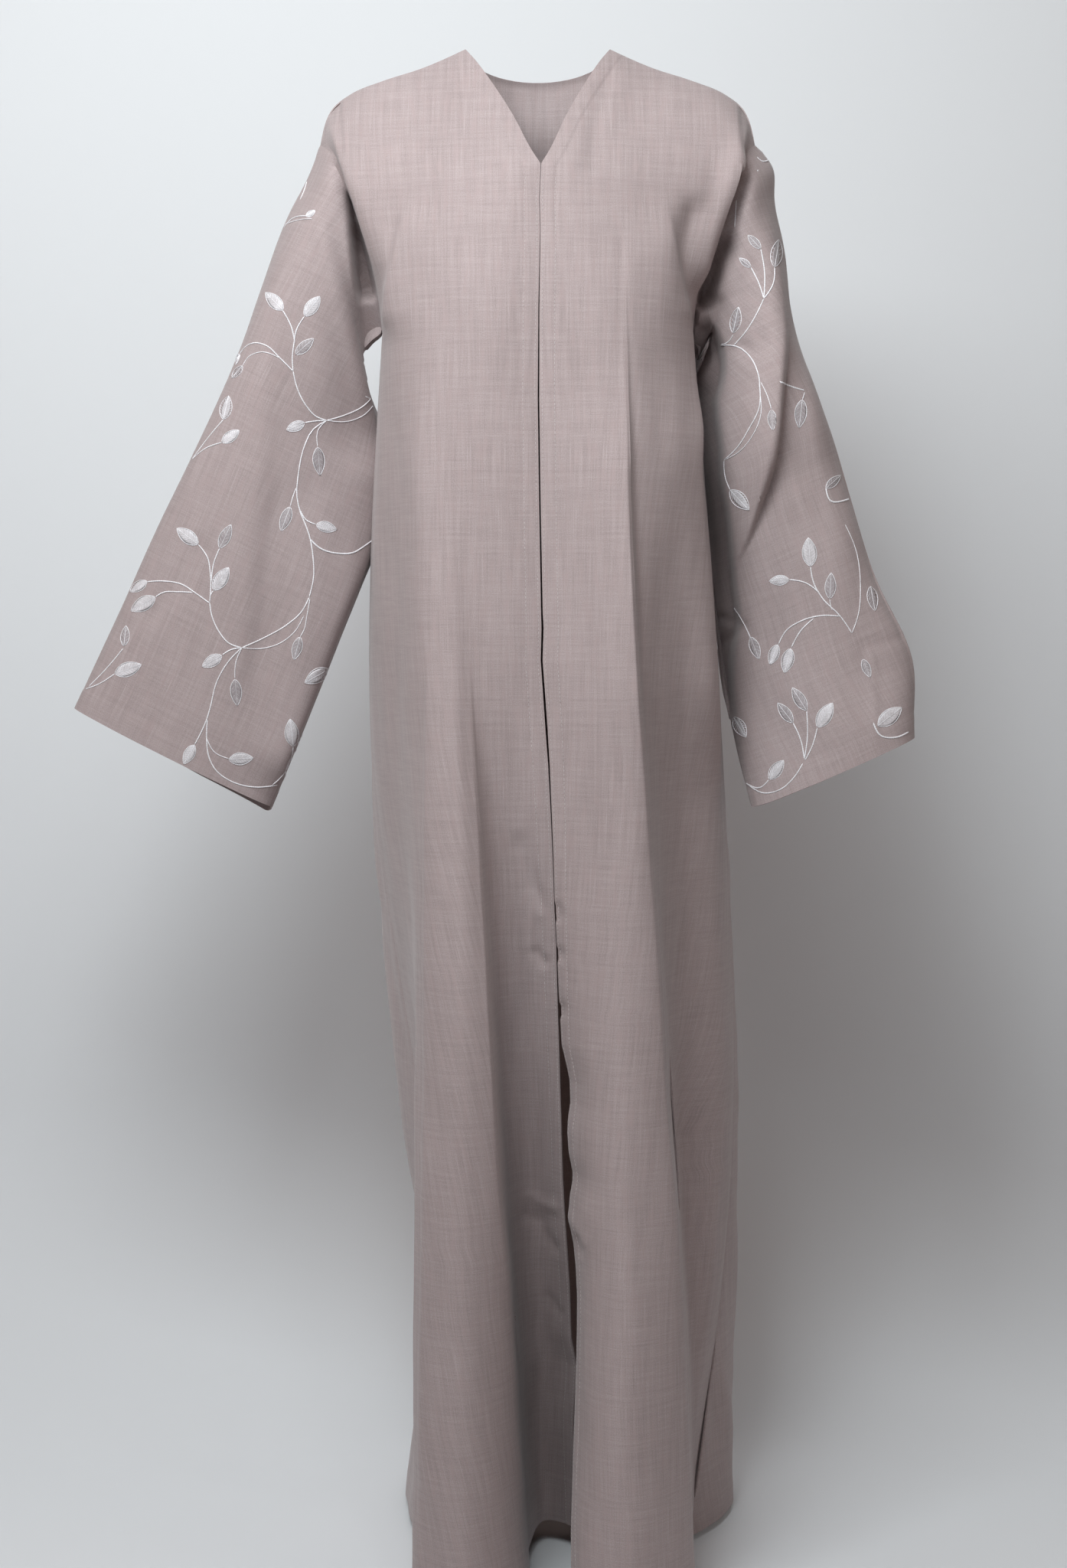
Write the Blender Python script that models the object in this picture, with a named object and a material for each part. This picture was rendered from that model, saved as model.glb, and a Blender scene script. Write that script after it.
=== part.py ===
"""Open-front abaya cloak with wide set-in sleeves, standing out as it does on its wearer.

Five sewn pieces: two fronts, a one-piece back and two one-piece sleeves, each a wall of cloth.
X runs to the wearer's left, the garment faces -Y, and +Z is up. The origin lies midway between
the two points where the shoulder seams reach the neck, which is where the wearer carries it.
Every panel is a loft: its fold lines are rows of a table, and curves run through them both ways.
"""

import math
from collections import defaultdict, namedtuple

import bpy
import numpy as np

COLLECTION = "abaya_cloak"

# Cloth (m)
WALL = 0.0015
SEAM_GAP = 0.0003
SHARPEST_SEAM = 0.25
UNDERARM_EASE, UNDERARM_REACH = 0.0003, 0.020
LONGEST_MITRE = 2.0
FLAT_CORNER = 0.20
FRONT_CLEARANCE = 0.0010

# Heights of the sections that shape the skirt, below the neck's side points (m)
UNDERARM, HIP, KNEE, HEM = -0.272, -0.693, -1.073, -1.452
LEVELS = (UNDERARM, HIP, KNEE, HEM)
SHIN, SHIN_REACH = -1.240, 0.150

# Steps of the loft
PANEL_COLUMNS = 20
NECK_COLUMNS = 8
YOKE_ROWS = 12
NECKLINE_ROWS = 6
SKIRT_ROWS = 13
SLEEVE_RINGS = 14

# How the yoke leaves the shoulder seam and the back neckline (m per yoke length)
FRONT_LEAVES = (0.0, -0.200, -0.130)
BACK_LEAVES = (0.0, 0.160, -0.120)
NECK_LEAVES = (0.0, 0.075, -0.200)
NECK_BLEND = 3.0
NECK_REACH, ARMHOLE_REACH = 0.70, 0.45

# The soft roll before each armhole seam: how far it stands out (m), and its place and width across
# the yoke and how early it swells on the way down (shares)
SHOULDER_ROLL, LEFT_ROLL = 0.006, 0.011
ROLL_PLACE, ROLL_WIDTH, ROLL_SWELL = 0.88, 0.09, 0.70

# How widely the back is drawn even, how soon below the neck, and how far in from its sides (shares)
BACK_EVENING, BACK_EVENING_DROP, BACK_EVENING_MARGIN = 0.11, 0.30, 0.12

Point = namedtuple("Point", "out back up")
Rib = namedtuple("Rib", "name share underarm hip knee hem lift tuck")
Station = namedtuple("Station", "share outer inner front back")
Ridge = namedtuple("Ridge", "share across height")

# Seam lines of one half; "out" is the distance from the middle
SHOULDER_SEAM = (
    Point(0.070, 0.004, 0.000),
    Point(0.111, 0.003, -0.018),
    Point(0.148, 0.002, -0.030),
    Point(0.180, 0.001, -0.043),
    Point(0.197, 0.000, -0.056),
    Point(0.210, 0.000, -0.092),
)
NECKLINE = (
    Point(0.070, 0.004, 0.000),
    Point(0.060, -0.015, -0.014),
    Point(0.043, -0.035, -0.041),
    Point(0.025, -0.060, -0.074),
    Point(0.009, -0.090, -0.110),
    Point(0.000, -0.105, -0.127),
)
BACK_NECK_DEPTH, BACK_NECK_DROP = 0.055, -0.022
FRONT_ARMHOLE = (
    Point(0.210, 0.000, -0.092),
    Point(0.190, -0.040, -0.116),
    Point(0.173, -0.043, -0.158),
    Point(0.157, -0.030, -0.215),
    Point(0.150, 0.000, -0.270),
)
BACK_ARMHOLE = (
    Point(0.210, 0.000, -0.092),
    Point(0.200, 0.035, -0.115),
    Point(0.180, 0.052, -0.165),
    Point(0.162, 0.040, -0.220),
    Point(0.150, 0.000, -0.270),
)
CENTRE_X = 0.0028

# Fold lines of the skirt: share across the panel, (x, y) at each level, the hem's lift, and how
# far the line is drawn in towards the wearer's left at the shin
FRONT_RIGHT = (
    Rib("edge", 0.00, (0.0015, -0.130), (0.0085, -0.155), (0.0245, -0.130), (0.0385, -0.055), 0.016, 0.0),
    Rib("floor", 0.11, (-0.026, -0.133), (-0.018, -0.152), (-0.003, -0.108), (0.006, -0.035), 0.016, 0.0),
    Rib("inner wall", 0.22, (-0.052, -0.133), (-0.042, -0.157), (-0.026, -0.130), (-0.008, -0.090), 0.008, 0.0),
    Rib("flute right", 0.34, (-0.074, -0.129), (-0.057, -0.167), (-0.034, -0.180), (-0.012, -0.197), 0.0, 0.0),
    Rib("crest", 0.47, (-0.096, -0.121), (-0.077, -0.178), (-0.070, -0.226), (-0.064, -0.264), 0.0, 0.0),
    Rib("flute left", 0.60, (-0.118, -0.106), (-0.107, -0.163), (-0.111, -0.196), (-0.113, -0.226), 0.0, 0.0),
    Rib("outer wall", 0.75, (-0.136, -0.080), (-0.129, -0.105), (-0.104, -0.145), (-0.101, -0.150), 0.0, 0.0),
    Rib("side", 0.87, (-0.147, -0.042), (-0.150, -0.050), (-0.101, -0.103), (-0.094, -0.105), 0.0, 0.0),
    Rib("seam", 1.00, (-0.150, 0.000), (-0.162, 0.004), (-0.108, -0.060), (-0.098, -0.062), 0.0, 0.0),
)
FRONT_LEFT = (
    Rib("edge", 0.00, (0.0042, -0.130), (0.0130, -0.157), (0.0337, -0.165), (0.0298, -0.215), 0.0, 0.0),
    Rib("brow", 0.12, (0.031, -0.134), (0.039, -0.170), (0.050, -0.207), (0.048, -0.258), 0.0, 0.0),
    Rib("crest", 0.26, (0.060, -0.132), (0.070, -0.181), (0.082, -0.227), (0.087, -0.275), 0.0, 0.0),
    Rib("flute left", 0.42, (0.090, -0.122), (0.101, -0.163), (0.128, -0.180), (0.145, -0.213), 0.0, 0.0),
    Rib("outer wall", 0.56, (0.115, -0.106), (0.115, -0.124), (0.126, -0.124), (0.136, -0.140), 0.0, 0.0),
    Rib("trough", 0.69, (0.133, -0.082), (0.134, -0.088), (0.139, -0.078), (0.134, -0.095), 0.0, 0.0),
    Rib("side", 0.85, (0.146, -0.042), (0.170, -0.042), (0.181, -0.032), (0.140, -0.065), 0.0, 0.0),
    Rib("seam", 1.00, (0.150, 0.000), (0.182, 0.012), (0.195, 0.030), (0.150, -0.035), 0.0, 0.0),
)
BACK = (
    Rib("right seam", 0.00, (-0.150, 0.000), (-0.162, 0.004), (-0.108, -0.060), (-0.098, -0.062), 0.0, 0.0),
    Rib("right side", 0.08, (-0.148, 0.030), (-0.164, 0.042), (-0.137, 0.010), (-0.124, -0.018), 0.0, 0.026),
    Rib("right flank", 0.17, (-0.134, 0.060), (-0.156, 0.090), (-0.143, 0.088), (-0.139, 0.092), 0.0, 0.030),
    Rib("flute 1", 0.27, (-0.106, 0.084), (-0.128, 0.136), (-0.124, 0.170), (-0.128, 0.190), 0.0, 0.018),
    Rib("valley 1", 0.37, (-0.072, 0.097), (-0.083, 0.142), (-0.072, 0.155), (-0.068, 0.162), 0.0, 0.0),
    Rib("flute 2", 0.47, (-0.034, 0.103), (-0.038, 0.162), (-0.030, 0.204), (-0.020, 0.238), 0.0, 0.0),
    Rib("valley 2", 0.57, (0.010, 0.104), (0.012, 0.153), (0.026, 0.168), (0.036, 0.176), 0.0, 0.0),
    Rib("flute 3", 0.67, (0.054, 0.100), (0.065, 0.159), (0.087, 0.200), (0.100, 0.234), 0.0, 0.0),
    Rib("valley 3", 0.77, (0.094, 0.088), (0.110, 0.134), (0.134, 0.150), (0.150, 0.168), 0.0, 0.0),
    Rib("left flank", 0.86, (0.129, 0.063), (0.160, 0.098), (0.188, 0.120), (0.199, 0.132), 0.0, 0.0),
    Rib("left side", 0.94, (0.146, 0.031), (0.184, 0.052), (0.204, 0.076), (0.190, 0.030), 0.0, 0.0),
    Rib("left seam", 1.00, (0.150, 0.000), (0.182, 0.012), (0.195, 0.030), (0.150, -0.035), 0.0, 0.0),
)

# Sleeve sections from armhole to cuff: the line along the arm, the line that hangs below it,
# and how far the cloth stands in front of and behind the line between them
SLEEVE_RIGHT = (
    Station(0.05, (-0.221, 0.000, -0.120), (-0.170, 0.002, -0.288), 0.046, 0.050),
    Station(0.12, (-0.240, 0.000, -0.157), (-0.171, 0.010, -0.318), 0.054, 0.052),
    Station(0.25, (-0.268, 0.000, -0.229), (-0.159, 0.045, -0.376), 0.066, 0.052),
    Station(0.35, (-0.288, 0.000, -0.284), (-0.159, 0.058, -0.426), 0.064, 0.050),
    Station(0.55, (-0.337, 0.000, -0.392), (-0.178, 0.026, -0.519), 0.052, 0.046),
    Station(0.68, (-0.371, 0.000, -0.461), (-0.197, 0.015, -0.574), 0.046, 0.042),
    Station(0.82, (-0.406, 0.000, -0.538), (-0.222, 0.010, -0.637), 0.040, 0.038),
    Station(1.00, (-0.453, 0.000, -0.636), (-0.262, 0.000, -0.732), 0.032, 0.034),
)
SLEEVE_LEFT = (
    Station(0.05, (0.221, 0.000, -0.120), (0.168, 0.004, -0.285), 0.046, 0.050),
    Station(0.14, (0.235, 0.000, -0.171), (0.165, 0.028, -0.325), 0.056, 0.050),
    Station(0.34, (0.253, 0.000, -0.284), (0.164, 0.050, -0.412), 0.080, 0.048),
    Station(0.45, (0.276, -0.005, -0.347), (0.169, 0.050, -0.460), 0.082, 0.046),
    Station(0.60, (0.304, -0.014, -0.435), (0.177, 0.048, -0.535), 0.078, 0.044),
    Station(0.78, (0.330, -0.028, -0.535), (0.187, 0.030, -0.622), 0.064, 0.042),
    Station(0.88, (0.346, -0.036, -0.596), (0.196, 0.004, -0.676), 0.056, 0.040),
    Station(1.00, (0.360, -0.044, -0.663), (0.2085, -0.030, -0.7304), 0.046, 0.040),
)
SLEEVE_LEAVES = 0.75
RING_FULLNESS = 0.80

# The deep fold that crosses the front of the left sleeve, from the shoulder to the seam
LEFT_FOLD = (
    Ridge(0.00, 0.10, 0.000),
    Ridge(0.20, 0.17, 0.010),
    Ridge(0.34, 0.20, 0.024),
    Ridge(0.50, 0.34, 0.026),
    Ridge(0.62, 0.55, 0.022),
    Ridge(0.74, 0.85, 0.012),
    Ridge(0.82, 1.05, 0.000),
)
FOLD_STEP = 0.14

CLOTH_COLOUR = (0.43, 0.36, 0.35, 1.0)
SLEEVE_COLOUR = (0.40, 0.33, 0.32, 1.0)
CLOTH_ROUGHNESS = 0.9
SHARP_EDGE = math.radians(50.0)


# Curves

def slopes(knots, values):
    """The slope at each knot of the parabola through it and its neighbours."""
    steps = np.diff(knots)[:, None]
    runs = np.diff(values, axis=0) / steps
    result = np.empty_like(values)
    result[1:-1] = (runs[:-1] * steps[1:] + runs[1:] * steps[:-1]) / (steps[:-1] + steps[1:])
    result[0] = 1.5 * runs[0] - 0.5 * result[1] if len(values) > 2 else runs[0]
    result[-1] = 1.5 * runs[-1] - 0.5 * result[-2] if len(values) > 2 else runs[-1]
    return result


def hermite(start, end, leave, arrive, t):
    """Points at t (0 to 1) on the cubic from start to end with those end slopes."""
    t2 = t * t
    t3 = t2 * t
    return (
        (2 * t3 - 3 * t2 + 1) * start
        + (3 * t2 - 2 * t3) * end
        + (t3 - 2 * t2 + t) * leave
        + (t3 - t2) * arrive
    )


def curve_through(knots, values, at):
    """Values at the parameters `at` of a smooth curve through values[i] at knots[i]."""
    knots = np.asarray(knots, float)
    values = np.asarray(values, float)
    at = np.asarray(at, float)
    tangents = slopes(knots, values)
    index = np.clip(np.searchsorted(knots, at, side="right") - 1, 0, len(knots) - 2)
    width = (knots[index + 1] - knots[index])[:, None]
    t = (at - knots[index])[:, None] / width
    return hermite(values[index], values[index + 1], tangents[index] * width, tangents[index + 1] * width, t)


def by_length(points, steps):
    """Evenly spaced points, steps + 1 of them, on a smooth curve through points."""
    points = np.asarray(points, float)
    lengths = np.concatenate([[0.0], np.cumsum(np.linalg.norm(np.diff(points, axis=0), axis=1))])
    return curve_through(lengths / lengths[-1], points, np.linspace(0.0, 1.0, steps + 1))


def ease(t):
    """0 to 1 with level ends."""
    t = np.clip(t, 0.0, 1.0)
    return t * t * (3.0 - 2.0 * t)


def seam_line(points, side, middle=0.0):
    """World points of a seam given for one half; side is -1 for the wearer's right, 1 for the left."""
    return np.array([(middle + side * p.out, p.back, p.up) for p in points])


# Body panels

def skirt_sections(ribs, columns):
    """The panel's (x, y) at each level and column, then each column's lift and tuck."""
    shares = [rib.share for rib in ribs]
    at = np.linspace(0.0, 1.0, columns + 1)
    sections = [
        curve_through(shares, [getattr(rib, level) for rib in ribs], at)
        for level in ("underarm", "hip", "knee", "hem")
    ]
    lift, tuck = curve_through(shares, [(rib.lift, rib.tuck) for rib in ribs], at).T
    return np.array(sections), lift, tuck


def skirt(ribs, columns):
    """Rows of the panel from the underarm down to the hem, and its slope at the underarm."""
    sections, lift, tuck = skirt_sections(ribs, columns)
    depth = -np.array(LEVELS)
    flat = sections.reshape(len(LEVELS), -1)
    heights = np.linspace(depth[0], depth[-1], SKIRT_ROWS + 1)
    rows = curve_through(depth, flat, heights).reshape(SKIRT_ROWS + 1, -1, 2)
    grid = np.empty((SKIRT_ROWS + 1, columns + 1, 3))
    grid[..., :2] = rows
    fall = (heights - depth[0]) / (depth[-1] - depth[0])
    grid[..., 2] = -heights[:, None] + ease(fall)[:, None] * lift
    grid[..., 0] += np.exp(-(((heights + SHIN) / SHIN_REACH) ** 2))[:, None] * tuck
    start = slopes(depth, flat)[0].reshape(-1, 2)
    slope = np.column_stack([start, np.full(len(start), -1.0)])
    return grid, slope


def yoke(top, leaves, bottom, slope, left, right):
    """Rows from the top line down to the underarm, between a left and a right side line."""
    rise = top[:, 2] - bottom[:, 2]
    arrive = slope * rise[:, None]
    t = np.linspace(0.0, 1.0, YOKE_ROWS + 1)[:, None, None]
    grid = hermite(top[None], bottom[None], leaves[None], arrive[None], t)
    across = np.linspace(0.0, 1.0, len(top))
    to_left = 1.0 - ease(across / NECK_REACH)
    to_right = ease((across - 1.0 + ARMHOLE_REACH) / ARMHOLE_REACH)
    off_left = left - grid[:, 0]
    off_right = right - grid[:, -1]
    grid += off_left[:, None] * to_left[:, None] + off_right[:, None] * to_right[:, None]
    return grid


def front_panel(side, ribs):
    """One front, from its shoulder seam to the hem; columns run from the front edge to the side."""
    lower, slope = skirt(ribs, PANEL_COLUMNS)
    top = by_length(seam_line(SHOULDER_SEAM, side), PANEL_COLUMNS)
    meeting = CENTRE_X + side * FRONT_CLEARANCE / 2
    neck = seam_line(NECKLINE, side)
    neck[:, 0] += meeting * ease(np.linspace(0.0, 1.0, len(neck)))
    neckline = by_length(neck, NECKLINE_ROWS)
    edge_rows = YOKE_ROWS - NECKLINE_ROWS
    drop = neckline[-1, 2] - UNDERARM
    t = np.linspace(0.0, 1.0, edge_rows + 1)[1:, None]
    straight = lower[0, 0] - neckline[-1]
    edge = hermite(neckline[-1], lower[0, 0], straight, slope[0] * drop, t)
    left = np.vstack([neckline, edge])
    right = by_length(seam_line(FRONT_ARMHOLE, side), YOKE_ROWS)
    bottom = lower[0].copy()
    bottom[-1] = right[-1]
    upper = yoke(top, np.tile(FRONT_LEAVES, (len(top), 1)), bottom, slope, left, right)
    upper += shoulder_roll(upper, side)
    lower[0] = upper[-1]
    return np.concatenate([upper, lower[1:]])


def shoulder_roll(grid, side):
    """The soft roll that the yoke makes before the armhole seam, fuller on the wearer's left."""
    down = np.linspace(0.0, 1.0, grid.shape[0])[:, None]
    across = np.linspace(0.0, 1.0, grid.shape[1])[None]
    weight = np.sin(math.pi * down ** ROLL_SWELL) ** 2
    weight = weight * np.exp(-(((across - ROLL_PLACE) / ROLL_WIDTH) ** 2))
    weight = weight * (across < 1.0)
    out = LEFT_ROLL if side > 0 else SHOULDER_ROLL
    return weight[..., None] * np.array([side * out, -SHOULDER_ROLL, 0.0])


def drawn_even(grid):
    """Evens the depth of the back across each row, so that no groove runs down from the neck's corners.

    The top line and both side lines keep their places.
    """
    down = np.linspace(0.0, 1.0, grid.shape[0])
    across = np.linspace(0.0, 1.0, grid.shape[1])
    near = np.exp(-(((across[:, None] - across[None]) / BACK_EVENING) ** 2))
    evened = grid[..., 1] @ (near / near.sum(axis=0))
    from_side = np.minimum(across, 1.0 - across)
    weight = ease(down / BACK_EVENING_DROP)[:, None] * ease(from_side / BACK_EVENING_MARGIN - 1.0)
    weight = weight * ease((1.0 - down) / BACK_EVENING_DROP)[:, None]
    result = grid.copy()
    result[..., 1] += weight * (evened - grid[..., 1])
    return result


def back_panel():
    """The one-piece back; columns run from the wearer's right side seam round to the left one."""
    columns = 2 * PANEL_COLUMNS + NECK_COLUMNS
    lower, slope = skirt(BACK, columns)
    shoulder_right = by_length(seam_line(SHOULDER_SEAM, -1), PANEL_COLUMNS)[::-1]
    shoulder_left = by_length(seam_line(SHOULDER_SEAM, 1), PANEL_COLUMNS)
    turn = np.linspace(math.pi, 0.0, NECK_COLUMNS + 1)[1:-1]
    side_point = SHOULDER_SEAM[0]
    neck = np.column_stack([
        side_point.out * np.cos(turn),
        side_point.back + (BACK_NECK_DEPTH - side_point.back) * np.sin(turn),
        BACK_NECK_DROP * np.sin(turn),
    ])
    top = np.vstack([shoulder_right, neck, shoulder_left])
    across = np.arange(columns + 1)
    from_middle = np.abs(across - columns / 2) / (NECK_COLUMNS / 2)
    on_neck = (1.0 - ease(from_middle / NECK_BLEND))[:, None]
    leaves = on_neck * np.array(NECK_LEAVES) + (1.0 - on_neck) * np.array(BACK_LEAVES)
    right_side = by_length(seam_line(BACK_ARMHOLE, -1), YOKE_ROWS)
    left_side = by_length(seam_line(BACK_ARMHOLE, 1), YOKE_ROWS)
    bottom = lower[0].copy()
    bottom[0] = right_side[-1]
    bottom[-1] = left_side[-1]
    upper = drawn_even(yoke(top, leaves, bottom, slope, right_side, left_side))
    lower[0] = upper[-1]
    return np.concatenate([upper, lower[1:]])


# Sleeves

def armhole_ring(front, back):
    """The closed armhole line: from the underarm up the front, then down the back."""
    return np.concatenate([front[YOKE_ROWS:0:-1], back[: YOKE_ROWS]])


def fold_height(fold, share, across):
    """How far the sleeve's front stands out on the inner side of its deep fold."""
    if not fold:
        return np.zeros_like(across)
    line = curve_through([r.share for r in fold], [(r.across, r.height) for r in fold], [share])[0]
    reach = share < fold[-1].share
    return ease((across - line[0]) / FOLD_STEP + 0.5) * max(line[1], 0.0) * reach


def sleeve(stations, armhole, fold):
    """Rings from the armhole to the cuff; columns start at the underarm and go up the front."""
    count = len(armhole)
    turn = np.arange(count) * 2.0 * math.pi / count
    across = (1.0 + np.cos(turn)) / 2.0
    stand = np.sign(np.sin(turn)) * np.abs(np.sin(turn)) ** RING_FULLNESS
    shares = [0.0] + [s.share for s in stations]
    top = armhole[count // 2]
    under = armhole[0]
    outer = [tuple(top)] + [s.outer for s in stations]
    inner = [tuple(under)] + [s.inner for s in stations]
    front_reach = [-armhole[:, 1].min()] + [s.front for s in stations]
    back_reach = [armhole[:, 1].max()] + [s.back for s in stations]
    rows = np.column_stack([outer, inner, front_reach, back_reach])
    at = np.linspace(0.0, 1.0, SLEEVE_RINGS + 1)
    rings = []
    for share, row in zip(at, curve_through(shares, rows, at)):
        base = row[:3] + across[:, None] * (row[3:6] - row[:3])
        forward = np.where(stand > 0.0, row[6] * stand, row[7] * stand)
        forward = forward + fold_height(fold, share, across) * np.clip(stand, 0.0, 1.0)
        rings.append(base + forward[:, None] * np.array([0.0, -1.0, 0.0]))
    rings = np.array(rings)
    offset = armhole - rings[0]
    settle = ease(1.0 - at / SLEEVE_LEAVES) ** 3
    return rings + settle[:, None, None] * offset


# Walls of cloth

def quads(rows, columns, closed):
    """Index quads of a grid, its last column joined to the first if it is closed."""
    wrap = columns if closed else columns - 1
    return [
        (r * columns + c, r * columns + (c + 1) % columns,
         (r + 1) * columns + (c + 1) % columns, (r + 1) * columns + c)
        for r in range(rows - 1)
        for c in range(wrap)
    ]


def key(point):
    """A point's place, rounded so that both sides of a seam find each other."""
    return tuple(np.round(point, 6))


def shared_normals(panels):
    """The outward normals of every face that meets at each place, from all panels."""
    found = defaultdict(list)
    for grid, closed, flip in panels.values():
        points = grid.reshape(-1, 3)
        for a, b, c, d in quads(grid.shape[0], grid.shape[1], closed):
            normal = np.cross(points[c] - points[a], points[d] - points[b])
            normal = normal / np.linalg.norm(normal) * (-1.0 if flip else 1.0)
            for corner in (a, b, c, d):
                found[key(points[corner])].append(normal)
    return found


def mitre(normals):
    """The step that clears every one of these faces by 1, no longer than the mitre limit."""
    normals = np.array(normals)
    step = np.linalg.pinv(normals, rcond=FLAT_CORNER) @ np.ones(len(normals))
    return step * min(1.0, LONGEST_MITRE / np.linalg.norm(step))


EDGES = {
    "top": (np.s_[0], np.s_[1]),
    "left": (np.s_[:, 0], np.s_[:, 1]),
    "right": (np.s_[:, -1], np.s_[:, -2]),
}


def steps_in(grid, side):
    """Unit steps from a grid's named edge to the points next to it."""
    edge, next_in = EDGES[side]
    step = grid[next_in] - grid[edge]
    return step / np.linalg.norm(step, axis=-1, keepdims=True)


def seam_steps(panels, seams):
    """For each place on a seam, the steps by which the panels that meet there leave it."""
    found = defaultdict(list)
    for name, (grid, _, _) in panels.items():
        for side in seams[name]:
            for point, step in zip(grid[EDGES[side][0]], steps_in(grid, side)):
                found[key(point)].append((name, step))
    return found


def trims(name, grid, sides, meeting):
    """How far each point of a panel moves in, so that its seams keep their gap however sharp they are.

    The gap widens a little at the underarms, where three pieces meet in a sharp corner.
    """
    moves = np.zeros_like(grid)
    corner = np.array(FRONT_ARMHOLE[-1])
    for side in sides:
        edge = EDGES[side][0]
        for index, (point, step) in enumerate(zip(grid[edge], steps_in(grid, side))):
            others = [other for owner, other in meeting[key(point)] if owner != name]
            cosine = max((float(step @ other) for other in others), default=-1.0)
            half_angle = math.acos(min(max(cosine, -1.0), 1.0)) / 2
            reach = SEAM_GAP / 2 / max(math.sin(half_angle), SHARPEST_SEAM)
            from_corner = np.linalg.norm(np.abs(point * (1.0, 0.0, 0.0)) + point * (0.0, 1.0, 1.0) - corner)
            reach += UNDERARM_EASE * math.exp(-((from_corner / UNDERARM_REACH) ** 2))
            moves[edge][index] += reach * step
    return moves


def cloth_wall(name, panel, normals, moves, material):
    """One closed solid: the outer grid, the same grid moved in by the wall, and the rims."""
    grid, closed, flip = panel
    rows, columns = grid.shape[:2]
    inward = np.array([[-mitre(normals[key(p)]) for p in row] for row in grid])
    outer = (grid + moves).reshape(-1, 3)
    inner = (grid + moves + WALL * inward).reshape(-1, 3)
    count = len(outer)
    faces = quads(rows, columns, closed)
    under = [tuple(count + i for i in reversed(face)) for face in faces]
    rims = []
    for row in (0, rows - 1):
        for c in range(columns if closed else columns - 1):
            a = row * columns + c
            b = row * columns + (c + 1) % columns
            rims.append((b, a, count + a, count + b) if row == 0 else (a, b, count + b, count + a))
    if not closed:
        for c in (0, columns - 1):
            for r in range(rows - 1):
                a = r * columns + c
                b = a + columns
                rims.append((a, b, count + b, count + a) if c == 0 else (b, a, count + a, count + b))
    every = faces + under + rims
    if flip:
        every = [tuple(reversed(face)) for face in every]
    mesh = bpy.data.meshes.new(name)
    mesh.from_pydata(np.vstack([outer, inner]).tolist(), [], every)
    mesh.shade_smooth()
    mesh.set_sharp_from_angle(angle=SHARP_EDGE)
    mesh.materials.append(material)
    return bpy.data.objects.new(name, mesh)


def cloth_material(name, colour):
    """A matte woven finish."""
    material = bpy.data.materials.new(name)
    material.use_nodes = True
    shader = material.node_tree.nodes["Principled BSDF"]
    shader.inputs["Base Color"].default_value = colour
    shader.inputs["Roughness"].default_value = CLOTH_ROUGHNESS
    shader.inputs["Metallic"].default_value = 0.0
    return material


def clear_scene():
    """Removes every object that the file opened with."""
    for obj in list(bpy.data.objects):
        bpy.data.objects.remove(obj, do_unlink=True)


def build():
    """Makes the five pieces and puts them in the garment's collection."""
    clear_scene()
    collection = bpy.data.collections.new(COLLECTION)
    bpy.context.scene.collection.children.link(collection)
    front_right = front_panel(-1, FRONT_RIGHT)
    front_left = front_panel(1, FRONT_LEFT)
    back = back_panel()
    ring_right = armhole_ring(front_right[:, -1], back[:, 0])
    ring_left = armhole_ring(front_left[:, -1], back[:, -1])
    panels = {
        "front_right": (front_right, False, False),
        "front_left": (front_left, False, True),
        "back": (back, False, False),
        "sleeve_right": (sleeve(SLEEVE_RIGHT, ring_right, ()), True, False),
        "sleeve_left": (sleeve(SLEEVE_LEFT, ring_left, LEFT_FOLD), True, True),
    }
    seams = {
        "front_right": ("top", "right"),
        "front_left": ("top", "right"),
        "back": ("top", "left", "right"),
        "sleeve_right": ("top",),
        "sleeve_left": ("top",),
    }
    normals = shared_normals(panels)
    meeting = seam_steps(panels, seams)
    for name, panel in panels.items():
        colour = SLEEVE_COLOUR if name.startswith("sleeve") else CLOTH_COLOUR
        material = cloth_material(name + "_cloth", colour)
        moves = trims(name, panel[0], seams[name], meeting)
        collection.objects.link(cloth_wall(name, panel, normals, moves, material))


build()
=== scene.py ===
"""Looks of an open-front abaya cloak: slubbed cloth, sewn front edges and vine embroidery on its sleeves.

Every piece of cloth is drawn again from the same fold lines as its solid, at a finer pitch, and then
given its creases, its hems and its facings. Lengths are in metres, and the view's points in pixels.
"""

import logging
import math
from dataclasses import dataclass, field
from enum import Enum
from typing import Any, NamedTuple, Sequence

import bpy
import numpy as np
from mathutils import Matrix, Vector
from mathutils.bvhtree import BVHTree


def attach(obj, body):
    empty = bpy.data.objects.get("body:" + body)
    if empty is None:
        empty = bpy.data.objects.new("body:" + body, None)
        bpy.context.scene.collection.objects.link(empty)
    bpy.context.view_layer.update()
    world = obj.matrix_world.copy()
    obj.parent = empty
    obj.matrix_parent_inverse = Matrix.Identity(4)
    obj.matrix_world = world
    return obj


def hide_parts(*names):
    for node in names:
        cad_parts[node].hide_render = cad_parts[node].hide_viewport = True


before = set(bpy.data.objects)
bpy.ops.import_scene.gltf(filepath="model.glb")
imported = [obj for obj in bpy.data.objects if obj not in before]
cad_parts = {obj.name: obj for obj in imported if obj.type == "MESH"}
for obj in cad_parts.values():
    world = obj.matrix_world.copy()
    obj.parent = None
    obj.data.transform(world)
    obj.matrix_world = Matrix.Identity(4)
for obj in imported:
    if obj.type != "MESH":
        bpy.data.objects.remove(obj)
log = logging.getLogger("abaya_cloak")

Array = np.ndarray
Values = Array | Sequence[Any]
Pair = tuple[float, float]
Place = tuple[float, float, float]
Colour = tuple[float, float, float, float]

BODY = "root"
CLOTH_UV = "cloth"
MM = 0.001
TURN = 2.0 * math.pi
FORWARDS = np.array([0.0, -1.0, 0.0])
DOWNWARDS = (0.0, 0.0, -1.0)
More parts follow.
